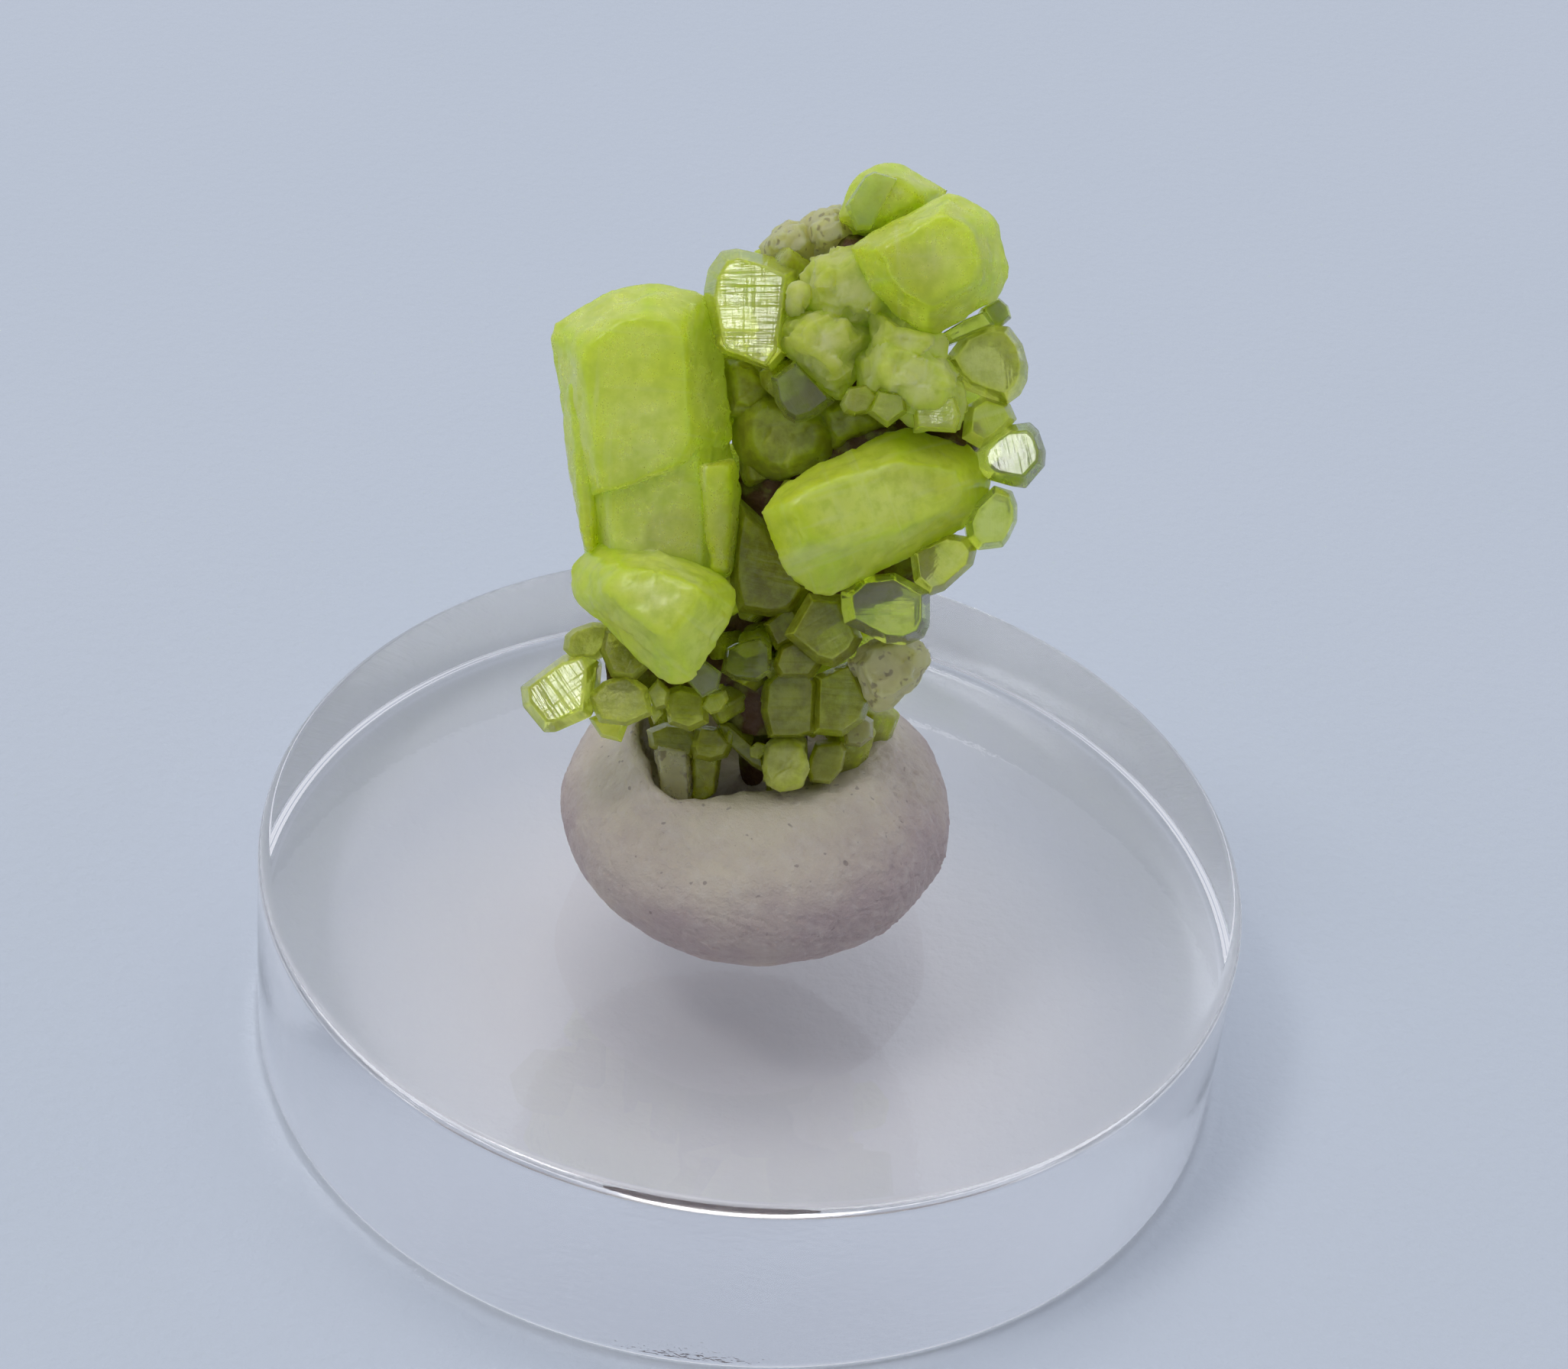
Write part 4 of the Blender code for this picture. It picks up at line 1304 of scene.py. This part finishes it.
def new_material(name):
    """A material, its nodes, its shader and the place of a point on the piece."""
    made = bpy.data.materials.new(name)
    made.use_nodes = True
    tree = made.node_tree
    return made, tree, tree.nodes["Principled BSDF"], add(tree, "ShaderNodeTexCoord").outputs["Object"]


def set_inputs(node, **values):
    """Sets a node's sockets by name: base_color=... sets Base Color."""
    for key, value in values.items():
        wanted = key.replace("_", " ").lower()
        for socket in node.inputs:
            if socket.name.lower() == wanted:
                socket.default_value = value


def add(tree, kind, label="", **settings):
    node = tree.nodes.new(kind)
    node.label = label
    for key, value in settings.items():
        setattr(node, key, value)
    return node


def noise_node(tree, coordinates, size, label, detail=4.0, roughness=0.55, distortion=0.0):
    """Noise whose features are about size millimetres."""
    node = add(tree, "ShaderNodeTexNoise", label)
    set_inputs(node, scale=1 / (size * MM), detail=detail, roughness=roughness, distortion=distortion)
    tree.links.new(coordinates, node.inputs["Vector"])
    return node.outputs["Fac"]


def stretched_noise(tree, coordinates, per_mm, label, detail=3.0):
    """Noise with its own number of features a millimetre in each direction."""
    stretch = add(tree, "ShaderNodeVectorMath", label, operation="MULTIPLY")
    stretch.inputs[1].default_value = per_mm
    tree.links.new(coordinates, stretch.inputs[0])
    node = add(tree, "ShaderNodeTexNoise", label)
    set_inputs(node, scale=1.0, detail=detail)
    tree.links.new(stretch.outputs["Vector"], node.inputs["Vector"])
    return node.outputs["Fac"]


def ramp(tree, value, low, high, label, to=(0.0, 1.0)):
    node = add(tree, "ShaderNodeMapRange", label, clamp=True)
    node.inputs["From Min"].default_value = low
    node.inputs["From Max"].default_value = high
    node.inputs["To Min"].default_value = to[0]
    node.inputs["To Max"].default_value = to[1]
    tree.links.new(value, node.inputs["Value"])
    return node.outputs["Result"]


def maths(tree, operation, first, second, label="", clamp=False):
    node = add(tree, "ShaderNodeMath", label, operation=operation, use_clamp=clamp)
    for socket, value in zip(node.inputs, (first, second)):
        if isinstance(value, (int, float)):
            socket.default_value = value
        else:
            tree.links.new(value, socket)
    return node.outputs["Value"]


def mix_colour(tree, share, first, second, label=""):
    node = add(tree, "ShaderNodeMix", label, data_type="RGBA")
    for socket, value in ((node.inputs["Factor"], share), (node.inputs[6], first), (node.inputs[7], second)):
        if isinstance(value, (int, float)):
            socket.default_value = value
        elif isinstance(value, tuple):
            socket.default_value = (*value, 1.0)
        else:
            tree.links.new(value, socket)
    return node.outputs[2]


def measured(tree, operation, vector, fixed, label):
    """The number that a vector operation makes of a linked vector and a fixed one."""
    node = add(tree, "ShaderNodeVectorMath", label, operation=operation)
    node.inputs[1].default_value = fixed
    tree.links.new(vector, node.inputs[0])
    return node.outputs["Value"]


def parts_of(tree, vector):
    """A vector's three numbers."""
    parts = add(tree, "ShaderNodeSeparateXYZ")
    tree.links.new(vector, parts.inputs["Vector"])
    return parts.outputs


def stand_out(tree, shader, height, strength, depth, label):
    """Relief in the shader, depth millimetres deep."""
    bump = add(tree, "ShaderNodeBump", label)
    set_inputs(bump, strength=strength, distance=depth * MM)
    tree.links.new(height, bump.inputs["Height"])
    tree.links.new(bump.outputs["Normal"], shader.inputs["Normal"])


def new_group(name, inputs, outputs):
    """An empty shader group. inputs and outputs are (name, socket kind)."""
    group = bpy.data.node_groups.new(name, "ShaderNodeTree")
    for direction, sockets in (("INPUT", inputs), ("OUTPUT", outputs)):
        for socket_name, kind in sockets:
            group.interface.new_socket(name=socket_name, in_out=direction, socket_type=kind)
    return group, add(group, "NodeGroupInput"), add(group, "NodeGroupOutput")


FLOAT = "NodeSocketFloat"
COLOUR = "NodeSocketColor"
VECTOR = "NodeSocketVector"


def crystal_growth_group():
    """Colour, roughness and relief of a grown crystal, from where a point is on it. The colour also holds
    painted light, a stronger glow near the edges, and painted shade in the brown that shows through.
    """
    group, given, result = new_group(
        "crystal growth",
        (
            ("Place", VECTOR),
            ("Turned", VECTOR),
            ("Edge", FLOAT),
            ("End", FLOAT),
            ("Pale", FLOAT),
            ("Frost", FLOAT),
            ("Olive", FLOAT),
            ("Grey", FLOAT),
            ("Edge Colour", COLOUR),
            ("Body Colour", COLOUR),
            ("Cloud Colour", COLOUR),
        ),
        (("Colour", COLOUR), ("Roughness", FLOAT), ("Height", FLOAT)),
    )
    place = given.outputs["Place"]
    clouds = noise_node(group, place, 2.6, "milky clouds", detail=3.0, distortion=0.4)
    wisps = noise_node(group, place, 0.5, "fine wisps", detail=6.0, roughness=0.65)
    frosting = noise_node(group, place, 0.2, "frosting", detail=3.0)
    streaks = stretched_noise(group, given.outputs["Turned"], (2.2, 0.25, 1.0), "streaks along it")
    lines = stretched_noise(group, given.outputs["Turned"], (0.2, 3.4, 1.0), "growth lines across it")
    cloudy = ramp(group, clouds, 0.38, 0.66, "cloud patches")
    paleness = maths(group, "MULTIPLY_ADD", cloudy, 0.4, "clouds make it paler")
    group.links.new(given.outputs["Pale"], paleness.node.inputs[2])
    centre = maths(group, "MULTIPLY", given.outputs["End"], 0.5, "an end is paler in its middle")
    paleness = maths(group, "ADD", paleness, centre)
    # painted glow: the edge colour, for the light gathered at the edges, fades inward to the body colour
    uneven = ramp(group, clouds, 0.3, 0.6, "uneven edge", (0.6, 1.0))
    edge = maths(group, "MULTIPLY", given.outputs["Edge"], uneven)
    inside = maths(group, "SUBTRACT", 1.0, edge, "away from the edges")
    pale_mask = maths(group, "MULTIPLY", paleness, inside, "pale mask", clamp=True)
    body = mix_colour(group, edge, given.outputs["Body Colour"], given.outputs["Edge Colour"])
    colour = mix_colour(group, pale_mask, body, given.outputs["Cloud Colour"], "pale clouds")
    deeper = ramp(group, wisps, 0.46, 0.62, "deeper mottling", (0.0, 0.4))
    colour = mix_colour(group, deeper, colour, (0.5, 0.62, 0.015), "mottled")
    streaky = ramp(group, streaks, 0.56, 0.74, "white streaks", (0.0, 0.45))
    lined = ramp(group, lines, 0.58, 0.72, "white growth lines", (0.0, 0.2))
    colour = mix_colour(group, maths(group, "MAXIMUM", streaky, lined), colour, (0.88, 0.92, 0.45), "wisps")
    # brown matrix showing through, darkened further as painted shade on the lower and deeper crystals
    patchy = ramp(group, wisps, 0.36, 0.62, "patchy inside", (0.45, 1.1))
    shaded = maths(group, "MULTIPLY", given.outputs["Olive"], patchy, clamp=True)
    colour = mix_colour(group, shaded, colour, (0.3, 0.27, 0.025), "brown matrix and painted shade")
    greyed = maths(group, "MULTIPLY", given.outputs["Grey"], 0.75)
    colour = mix_colour(group, greyed, colour, (0.6, 0.53, 0.33), "grey crystals")
    grains = noise_node(group, place, 0.3, "dark grains", detail=1.0)
    grainy = maths(group, "MULTIPLY", ramp(group, grains, 0.62, 0.68, "grains"), given.outputs["Grey"])
    grainy = maths(group, "MULTIPLY", grainy, 0.6)
    colour = mix_colour(group, grainy, colour, (0.16, 0.1, 0.07), "dark grains")
    group.links.new(colour, result.inputs["Colour"])
    frosted = maths(group, "MULTIPLY", ramp(group, wisps, 0.4, 0.7, "frosted patches"), 0.12)
    rough = maths(group, "MULTIPLY_ADD", given.outputs["Frost"], 0.35, "frost is rougher")
    group.links.new(frosted, rough.node.inputs[2])
    group.links.new(maths(group, "ADD", rough, 0.05), result.inputs["Roughness"])
    grown_height = maths(group, "MULTIPLY_ADD", lines, 0.5, "lines stand out")
    group.links.new(maths(group, "MULTIPLY", streaks, 0.4), grown_height.node.inputs[2])
    grain = maths(group, "MULTIPLY", frosting, given.outputs["Frost"])
    group.links.new(maths(group, "ADD", grown_height, grain), result.inputs["Height"])
    return group


def attribute(tree, name):
    """What a piece's face corners hold under a name."""
    return add(tree, "ShaderNodeAttribute", name, attribute_name=name).outputs["Vector"]


def crystal_material(name, growth, colours, bump, relief_height):
    """A crystal finish. colours are its painted edge glow, body and clouds, relief_height is in millimetres.
    """
    made, tree, shader, place = new_material(name)
    group = add(tree, "ShaderNodeGroup", "crystal growth", node_tree=growth)
    tree.links.new(place, group.inputs["Place"])
    tree.links.new(attribute(tree, "turned"), group.inputs["Turned"])
    values = [*parts_of(tree, attribute(tree, "grown")), *parts_of(tree, attribute(tree, "made_of"))]
    for socket, value in zip(("Edge", "End", "Grey", "Pale", "Frost", "Olive"), values):
        tree.links.new(value, group.inputs[socket])
    for socket, colour in zip(("Edge Colour", "Body Colour", "Cloud Colour"), colours):
        group.inputs[socket].default_value = (*colour, 1.0)
    tree.links.new(group.outputs["Colour"], shader.inputs["Base Color"])
    tree.links.new(group.outputs["Roughness"], shader.inputs["Roughness"])
    stand_out(tree, shader, group.outputs["Height"], bump, relief_height, "fine relief")
    set_inputs(shader, ior=1.5, subsurface_weight=1.0, subsurface_scale=1.0 * MM)
    return made, tree, shader


def milky_crystal(growth):
    colours = ((0.66, 0.86, 0.01), (0.76, 0.85, 0.03), (0.85, 0.89, 0.3))
    made, tree, shader = crystal_material("milky_crystal", growth, colours, 0.22, 0.05)
    skin = maths(tree, "ADD", shader.inputs["Roughness"].links[0].from_socket, 0.14, "waxy skin")
    tree.links.new(skin, shader.inputs["Roughness"])
    set_inputs(shader, subsurface_radius=(1.5, 1.5, 0.6), transmission_weight=0.42)
    return made


def clear_crystal(growth):
    colours = ((0.88, 0.96, 0.2), (0.88, 0.92, 0.38), (0.95, 0.97, 0.68))
    made, tree, shader = crystal_material("clear_crystal", growth, colours, 0.6, 0.1)
    set_inputs(shader, subsurface_radius=(1.5, 1.5, 0.9), transmission_weight=0.85)
    absorption = add(tree, "ShaderNodeVolumeAbsorption", "yellow-green depth")
    set_inputs(absorption, color=(0.88, 0.93, 0.1, 1.0), density=900.0)
    tree.links.new(absorption.outputs["Volume"], tree.nodes["Material Output"].inputs["Volume"])
    return made


def glassy_crystal(growth):
    colours = ((0.84, 0.95, 0.04), (0.76, 0.82, 0.05), (0.86, 0.89, 0.38))
    made, _, shader = crystal_material("glassy_crystal", growth, colours, 0.8, 0.14)
    set_inputs(shader, subsurface_radius=(1.5, 1.5, 0.7), transmission_weight=0.7)
    return made


def brown_matrix():
    made, tree, shader, place = new_material("brown_matrix")
    # dark brown rock, and painted shade where it shows in the deep gaps between crystals
    patches = noise_node(tree, place, 0.9, "patches", detail=6.0)
    grain = noise_node(tree, place, 0.2, "grain", detail=5.0)
    olive = ramp(tree, patches, 0.5, 0.62, "olive patches")
    colour = mix_colour(tree, olive, (0.075, 0.03, 0.008), (0.16, 0.16, 0.02), "brown and olive")
    tree.links.new(colour, shader.inputs["Base Color"])
    tree.links.new(ramp(tree, grain, 0.3, 0.7, "gloss", (0.45, 0.85)), shader.inputs["Roughness"])
    stand_out(tree, shader, grain, 0.8, 0.1, "rough rock")
    return made


def putty_material():
    made, tree, shader, place = new_material("mineral_putty")
    across, _, up = parts_of(tree, place)
    broad = noise_node(tree, place, 3.0, "beige and pink areas", detail=3.0)
    mottle = noise_node(tree, place, 0.5, "mottling", detail=6.0)
    skin = noise_node(tree, place, 0.16, "skin", detail=6.0, roughness=0.65)
    # painted light: the putty is paler and more beige on top and to the left, where the light falls, and
    # mauve below as painted shade; the uneven part is its own tone
    height = ramp(tree, up, 10.6 * MM, 13.2 * MM, "painted light on top")
    aside = ramp(tree, across, 4.0 * MM, -4.0 * MM, "painted light from the left", (-0.05, 0.12))
    uneven = ramp(tree, broad, 0.35, 0.65, "uneven", (-0.3, 0.3))
    beige = maths(tree, "ADD", maths(tree, "ADD", height, aside), uneven, "how beige, with painted light", clamp=True)
    colour = mix_colour(tree, beige, (0.43, 0.34, 0.325), (0.62, 0.54, 0.425), "mauve to beige")
    bits = ramp(tree, mottle, 0.5, 0.75, "pale bits", (0.0, 0.35))
    colour = mix_colour(tree, bits, colour, (0.66, 0.6, 0.54))
    specks = noise_node(tree, place, 0.3, "specks", detail=1.0)
    dark = ramp(tree, specks, 0.72, 0.76, "dark specks", (0.0, 0.5))
    colour = mix_colour(tree, dark, colour, (0.16, 0.12, 0.12))
    away = measured(tree, "DISTANCE", place, Vector(STAIN) * MM, "away from the stain")
    stained = ramp(tree, away, 0.75 * MM, 0.1 * MM, "stain", (0.0, 0.75))
    stained = maths(tree, "MULTIPLY", stained, ramp(tree, mottle, 0.42, 0.55, "patchy stain"))
    colour = mix_colour(tree, stained, colour, (0.24, 0.17, 0.17), "stained")
    tree.links.new(colour, shader.inputs["Base Color"])
    tree.links.new(ramp(tree, mottle, 0.3, 0.7, "handled", (0.34, 0.52)), shader.inputs["Roughness"])
    set_inputs(
        shader, ior=1.45, subsurface_weight=0.25, subsurface_radius=(1.0, 0.7, 0.5), subsurface_scale=0.5 * MM
    )
    stand_out(tree, shader, skin, 1.0, 0.1, "fine skin")
    return made


def clear_acrylic():
    made, tree, shader, place = new_material("clear_acrylic")
    waves = noise_node(tree, place, 6.0, "polishing waves", detail=2.0)
    underside = ramp(tree, parts_of(tree, place)["Z"], 0.3 * MM, 0.1 * MM, "the underside only", (0.0, 1.6))
    dimples = noise_node(tree, place, 0.35, "fine dimples", detail=2.0)
    height = maths(tree, "ADD", waves, maths(tree, "MULTIPLY", dimples, underside))
    stand_out(tree, shader, height, 0.1, 0.02, "polished face")
    tree.links.new(ramp(tree, waves, 0.3, 0.7, "slight haze", (0.0, 0.02)), shader.inputs["Roughness"])
    set_inputs(shader, base_color=(1.0, 0.98, 0.97, 1.0), ior=1.49, transmission_weight=1.0)
    return made


def paper_material():
    made, tree, shader, place = new_material("pale_paper")
    grain = noise_node(tree, place, 0.45, "paper grain", detail=4.0)
    broad = noise_node(tree, place, 30.0, "faint cloudiness", detail=2.0)
    colour = mix_colour(tree, broad, (0.49, 0.535, 0.595), (0.52, 0.555, 0.615), "pale lavender")
    # painted light: the paper is paler under the disc's front, where the disc gathers light
    away = measured(tree, "DISTANCE", place, Vector(PAPER_LIT) * MM, "away from the disc's front")
    lit = ramp(tree, away, 13.5 * MM, 7.0 * MM, "painted light gathered by the disc", (0.0, 0.75))
    colour = mix_colour(tree, lit, colour, (0.76, 0.77, 0.79))
    tree.links.new(colour, shader.inputs["Base Color"])
    set_inputs(shader, roughness=0.6)
    stand_out(tree, shader, grain, 0.7, 0.08, "grain")
    return made


def mesh_piece(name, verts, faces):
    mesh = bpy.data.meshes.new(name)
    mesh.from_pydata(verts, [], faces)
    mesh.shade_smooth()
    return in_scene(name, mesh)


def curve_through(points, count):
    """Evenly numbered points on a smooth curve through the given ones."""
    made = []
    last = len(points) - 1
    for k in range(count):
        t = k / (count - 1) * last
        i = min(int(t), last - 1)
        t -= i
        a, b, c, d = (points[min(max(j, 0), last)] for j in (i - 1, i, i + 1, i + 2))
        made.append(
            tuple(
                0.5
                * (2 * q + (r - p) * t + (2 * p - 5 * q + 4 * r - s) * t**2 + (3 * q - p - 3 * r + s) * t**3)
                for p, q, r, s in zip(a, b, c, d)
            )
        )
    return made


def lip_at(angle):
    """How far out and how high the crater's lip is, degrees from +X."""
    for before, after in zip(LIP, LIP[1:]):
        if angle <= after[0]:
            share = smooth((angle - before[0]) / (after[0] - before[0]))
            return [p + (q - p) * share for p, q in zip(before[1:], after[1:])]
    return LIP[-1][1:]


def putty_line(angle):
    """Points from the crater's middle over its lip and down the ball's outside, in one direction."""
    way = Vector((math.cos(angle), math.sin(angle)))
    reach, lip_height = lip_at(math.degrees(angle))
    centre = Vector(CRATER_CENTRE)
    lip = centre + Vector((way.x * CRATER_WIDTH / 2, way.y * CRATER_LENGTH / 2)) * reach
    hugging = smooth((math.cos(angle - PUTTY_HUGS) + 0.35) / 0.8)
    floor = CRATER_FLOOR + PUTTY_HUG_HEIGHT * hugging
    line = []
    for share, rise in CRATER_WALL:
        climb = rise * (lip_height - floor) / (lip_height - CRATER_FLOOR)
        height = floor + climb if share else CRATER_FLOOR + PUTTY_HUG_HEIGHT / 2
        line.append((*centre.lerp(lip, share), height))
    line.append((*lip, lip_height))
    ball = Vector(PUTTY_CENTRE)
    foot = math.degrees(math.acos((DISC_THICKNESS - ball.z) / (PUTTY_HEIGHT / 2)))
    outside = []
    for ring in range(PUTTY_OUTER_RINGS):
        polar = math.radians(PUTTY_SHOULDER + (foot - PUTTY_SHOULDER) * ring / (PUTTY_OUTER_RINGS - 1))
        out = Vector((way.x * PUTTY_WIDTH, way.y * PUTTY_DEPTH)) * math.sin(polar) / 2
        outside.append((*(ball.xy + out), ball.z + math.cos(polar) * PUTTY_HEIGHT / 2))
    line.append((*lip.lerp(Vector(outside[0][:2]), PUTTY_CREST_SHARE), PUTTY_CREST))
    return line + outside


def putty_relief(place):
    """Lumps, folds and ripples of handled putty, in millimetres."""
    broad, small = PUTTY_LUMPS
    lumps = broad * noise.noise(place * 0.35) + small * noise.noise(place * 0.9)
    right = smooth((place.x - 0.8) / 3.0) * smooth((0.5 - place.y) / 2.0)
    slant = Vector((place.x * 3.4 + place.z * 1.2, place.y * 3.4, place.z * 0.7))
    folds = -abs(noise.noise(slant + Vector((9, 4, 2)))) * PUTTY_FOLD * right
    by_the_lip = smooth((place.z - 11.6) / 0.8) * smooth((-3.0 - place.y) / 0.8)
    rippled = Vector((place.x * 1.1, place.y * 6.0, place.z * 6.0))
    ripples = PUTTY_RIPPLE * noise.noise(rippled) * by_the_lip
    crease = Vector((place.x * 1.4, place.y * 1.4, place.z * 4.0)) + Vector((3, 8, 5))
    creases = -PUTTY_CREASE * smooth(1 - abs(noise.noise(crease)) * 7)
    return lumps + folds + ripples + creases + PUTTY_GRAIN * noise.noise(place * 4.0)


def make_putty(finish):
    lines = []
    for side in range(PUTTY_SIDES):
        angle = 2 * math.pi * side / PUTTY_SIDES - math.pi
        lines.append(curve_through(putty_line(angle), PUTTY_RINGS))
    verts = []
    for row in range(PUTTY_RINGS):
        for line in lines:
            place = Vector(line[row])
            out = (place - Vector(PUTTY_CENTRE)).normalized()
            above = smooth((place.z - DISC_THICKNESS) / 0.6)
            moved = place + out * putty_relief(place) * above
            moved.z = max(moved.z, DISC_THICKNESS)
            verts.append(moved * MM)
    faces = rings_joined(PUTTY_RINGS, PUTTY_SIDES)
    last = (PUTTY_RINGS - 1) * PUTTY_SIDES
    faces.append(tuple(last + i for i in reversed(range(PUTTY_SIDES))))
    putty = mesh_piece("pressed_putty", verts, faces)
    bm = bmesh.new()
    bm.from_mesh(putty.data)
    bmesh.ops.remove_doubles(bm, verts=bm.verts, dist=PUTTY_WELD * MM)
    bmesh.ops.recalc_face_normals(bm, faces=bm.faces)
    bm.to_mesh(putty.data)
    bm.free()
    putty.data.shade_smooth()
    putty.data.set_sharp_from_angle(angle=math.radians(PUTTY_SHARP))
    putty.data.materials.append(finish)
    return putty


def make_disc(finish):
    """A thick disc with rounded edges, turned from its profile."""
    radius = DISC_DIAMETER / 2
    rim = DISC_EDGE_ROUND
    profile = [(0.0, 0.0), (radius - rim, 0.0)]
    for centre_z, start in ((rim, -90), (DISC_THICKNESS - rim, 0)):
        for k in range(DISC_ROUND_STEPS + 1):
            angle = math.radians(start + 90 * k / DISC_ROUND_STEPS)
            profile.append((radius - rim + rim * math.cos(angle), centre_z + rim * math.sin(angle)))
    profile += [(radius - rim, DISC_THICKNESS), (0.0, DISC_THICKNESS)]
    bm = bmesh.new()
    verts = [bm.verts.new((r * MM, 0.0, z * MM)) for r, z in profile]
    edges = [bm.edges.new(pair) for pair in zip(verts, verts[1:])]
    bmesh.ops.spin(
        bm,
        geom=verts + edges,
        axis=(0, 0, 1),
        cent=(0, 0, 0),
        angle=2 * math.pi,
        steps=DISC_SIDES,
        use_merge=True,
        use_duplicate=False,
    )
    bmesh.ops.remove_doubles(bm, verts=bm.verts, dist=DISC_WELD * MM)
    bmesh.ops.recalc_face_normals(bm, faces=bm.faces)
    mesh = bpy.data.meshes.new("polished_disc")
    bm.to_mesh(mesh)
    bm.free()
    mesh.shade_smooth()
    mesh.materials.append(finish)
    return in_scene("polished_disc", mesh)


def make_floor(finish):
    half = FLOOR_HALF * MM
    level = FLOOR_LEVEL * MM
    corners = [(-half, -half, level), (half, -half, level), (half, half, level), (-half, half, level)]
    floor = mesh_piece("paper_floor", corners, [(0, 1, 2, 3)])
    floor.data.materials.append(finish)


def area_light(name, place, size, power, colour):
    """A soft light at place, in millimetres, that faces the object."""
    light = bpy.data.lights.new(name, "AREA")
    light.shape = "RECTANGLE"
    light.size, light.size_y = (side * MM for side in size)
    light.energy = power
    light.color = colour
    obj = in_scene(name, light)
    obj.location = Vector(place) * MM
    towards = Vector(LIT_POINT) - Vector(place)
    obj.rotation_euler = towards.to_track_quat("-Z", "Y").to_euler()


def light_the_scene():
    world = bpy.data.worlds.new("soft_room")
    world.use_nodes = True
    tree = world.node_tree
    background = tree.nodes["Background"]
    background.inputs["Color"].default_value = (0.86, 0.9, 1.0, 1.0)
    way = add(tree, "ShaderNodeTexCoord").outputs["Generated"]
    facing = measured(tree, "DOT_PRODUCT", way, ROOM_BRIGHT_SIDE, "above and behind")
    strength = ramp(tree, facing, 0.0, 0.7, "dimmer on the display side", ROOM_STRENGTH)
    towards = measured(tree, "DOT_PRODUCT", way, ONLOOKER, "towards the onlooker")
    shaded = ramp(tree, towards, 0.72, 0.92, "the onlooker's shade", (1.0, ONLOOKER_SHADE))
    tree.links.new(maths(tree, "MULTIPLY", strength, shaded), background.inputs["Strength"])
    bpy.context.scene.world = world
    area_light("ceiling", CEILING_PLACE, CEILING_SIZE, CEILING_POWER, (1.0, 0.99, 0.97))
    x, y, z = WINDOW_PLACE
    for pane in range(WINDOW_PANES):
        aside = (pane - (WINDOW_PANES - 1) / 2) * WINDOW_PANE_STEP
        place = (x + aside * WINDOW_SLANT, y - aside * WINDOW_SLANT, z)
        area_light(f"window_pane_{pane}", place, WINDOW_PANE, WINDOW_POWER, (1.0, 1.0, 1.0))


def set_the_camera():
    camera = bpy.data.cameras.new("photo_view")
    camera.lens = CAMERA_LENS
    camera.sensor_width = CAMERA_SENSOR
    camera.clip_start = MM
    obj = in_scene("photo_view", camera)
    right = Vector(CAMERA_RIGHT)
    up = Vector(CAMERA_UP)
    turned = Matrix((right, up, right.cross(up))).transposed().to_4x4()
    obj.matrix_world = Matrix.Translation(Vector(CAMERA_PLACE) * MM) @ turned
    bpy.context.scene.camera = obj


def take_place(piece, node):
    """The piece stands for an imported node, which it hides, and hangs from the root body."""
    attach(piece, "root")
    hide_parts(node)


def main():
    growth = crystal_growth_group()
    small = (*BACK, *FOOT, *scatter(), *druse())
    milky = [crystal for crystal in FACETS if crystal.name not in CLEAR | GLASSY]
    clear = [crystal for crystal in FACETS if crystal.name in CLEAR]
    glassy = [crystal for crystal in FACETS if crystal.name in GLASSY]
    stem = [lump._replace(width=lump.width * STEM_SLIM) for lump in STEM]
    milky = grown_together("milky_crystals", milky, milky_crystal(growth))
    small = grown_together("small_crystals", small, milky.data.materials[0])
    glassy = grown_together("glassy_crystals", glassy, glassy_crystal(growth))
    clear = grown_together("clear_crystals", clear, clear_crystal(growth))
    matrix = grown_together("brown_matrix", stem, brown_matrix())
    for piece in (milky, small, glassy, clear, matrix):
        take_place(piece, "crystal_cluster")
    take_place(make_putty(putty_material()), "putty_ball")
    take_place(make_disc(clear_acrylic()), "clear_disc")
    make_floor(paper_material())
    light_the_scene()
    set_the_camera()
    scene = bpy.context.scene
    scene.view_settings.view_transform = "Standard"
    scene.cycles.blur_glossy = 0.0  # light falls through the clear disc unblurred
    scene.cycles.max_bounces = LIGHT_BOUNCES
    scene.cycles.glossy_bounces = LIGHT_BOUNCES
    scene.cycles.transmission_bounces = LIGHT_BOUNCES


main()
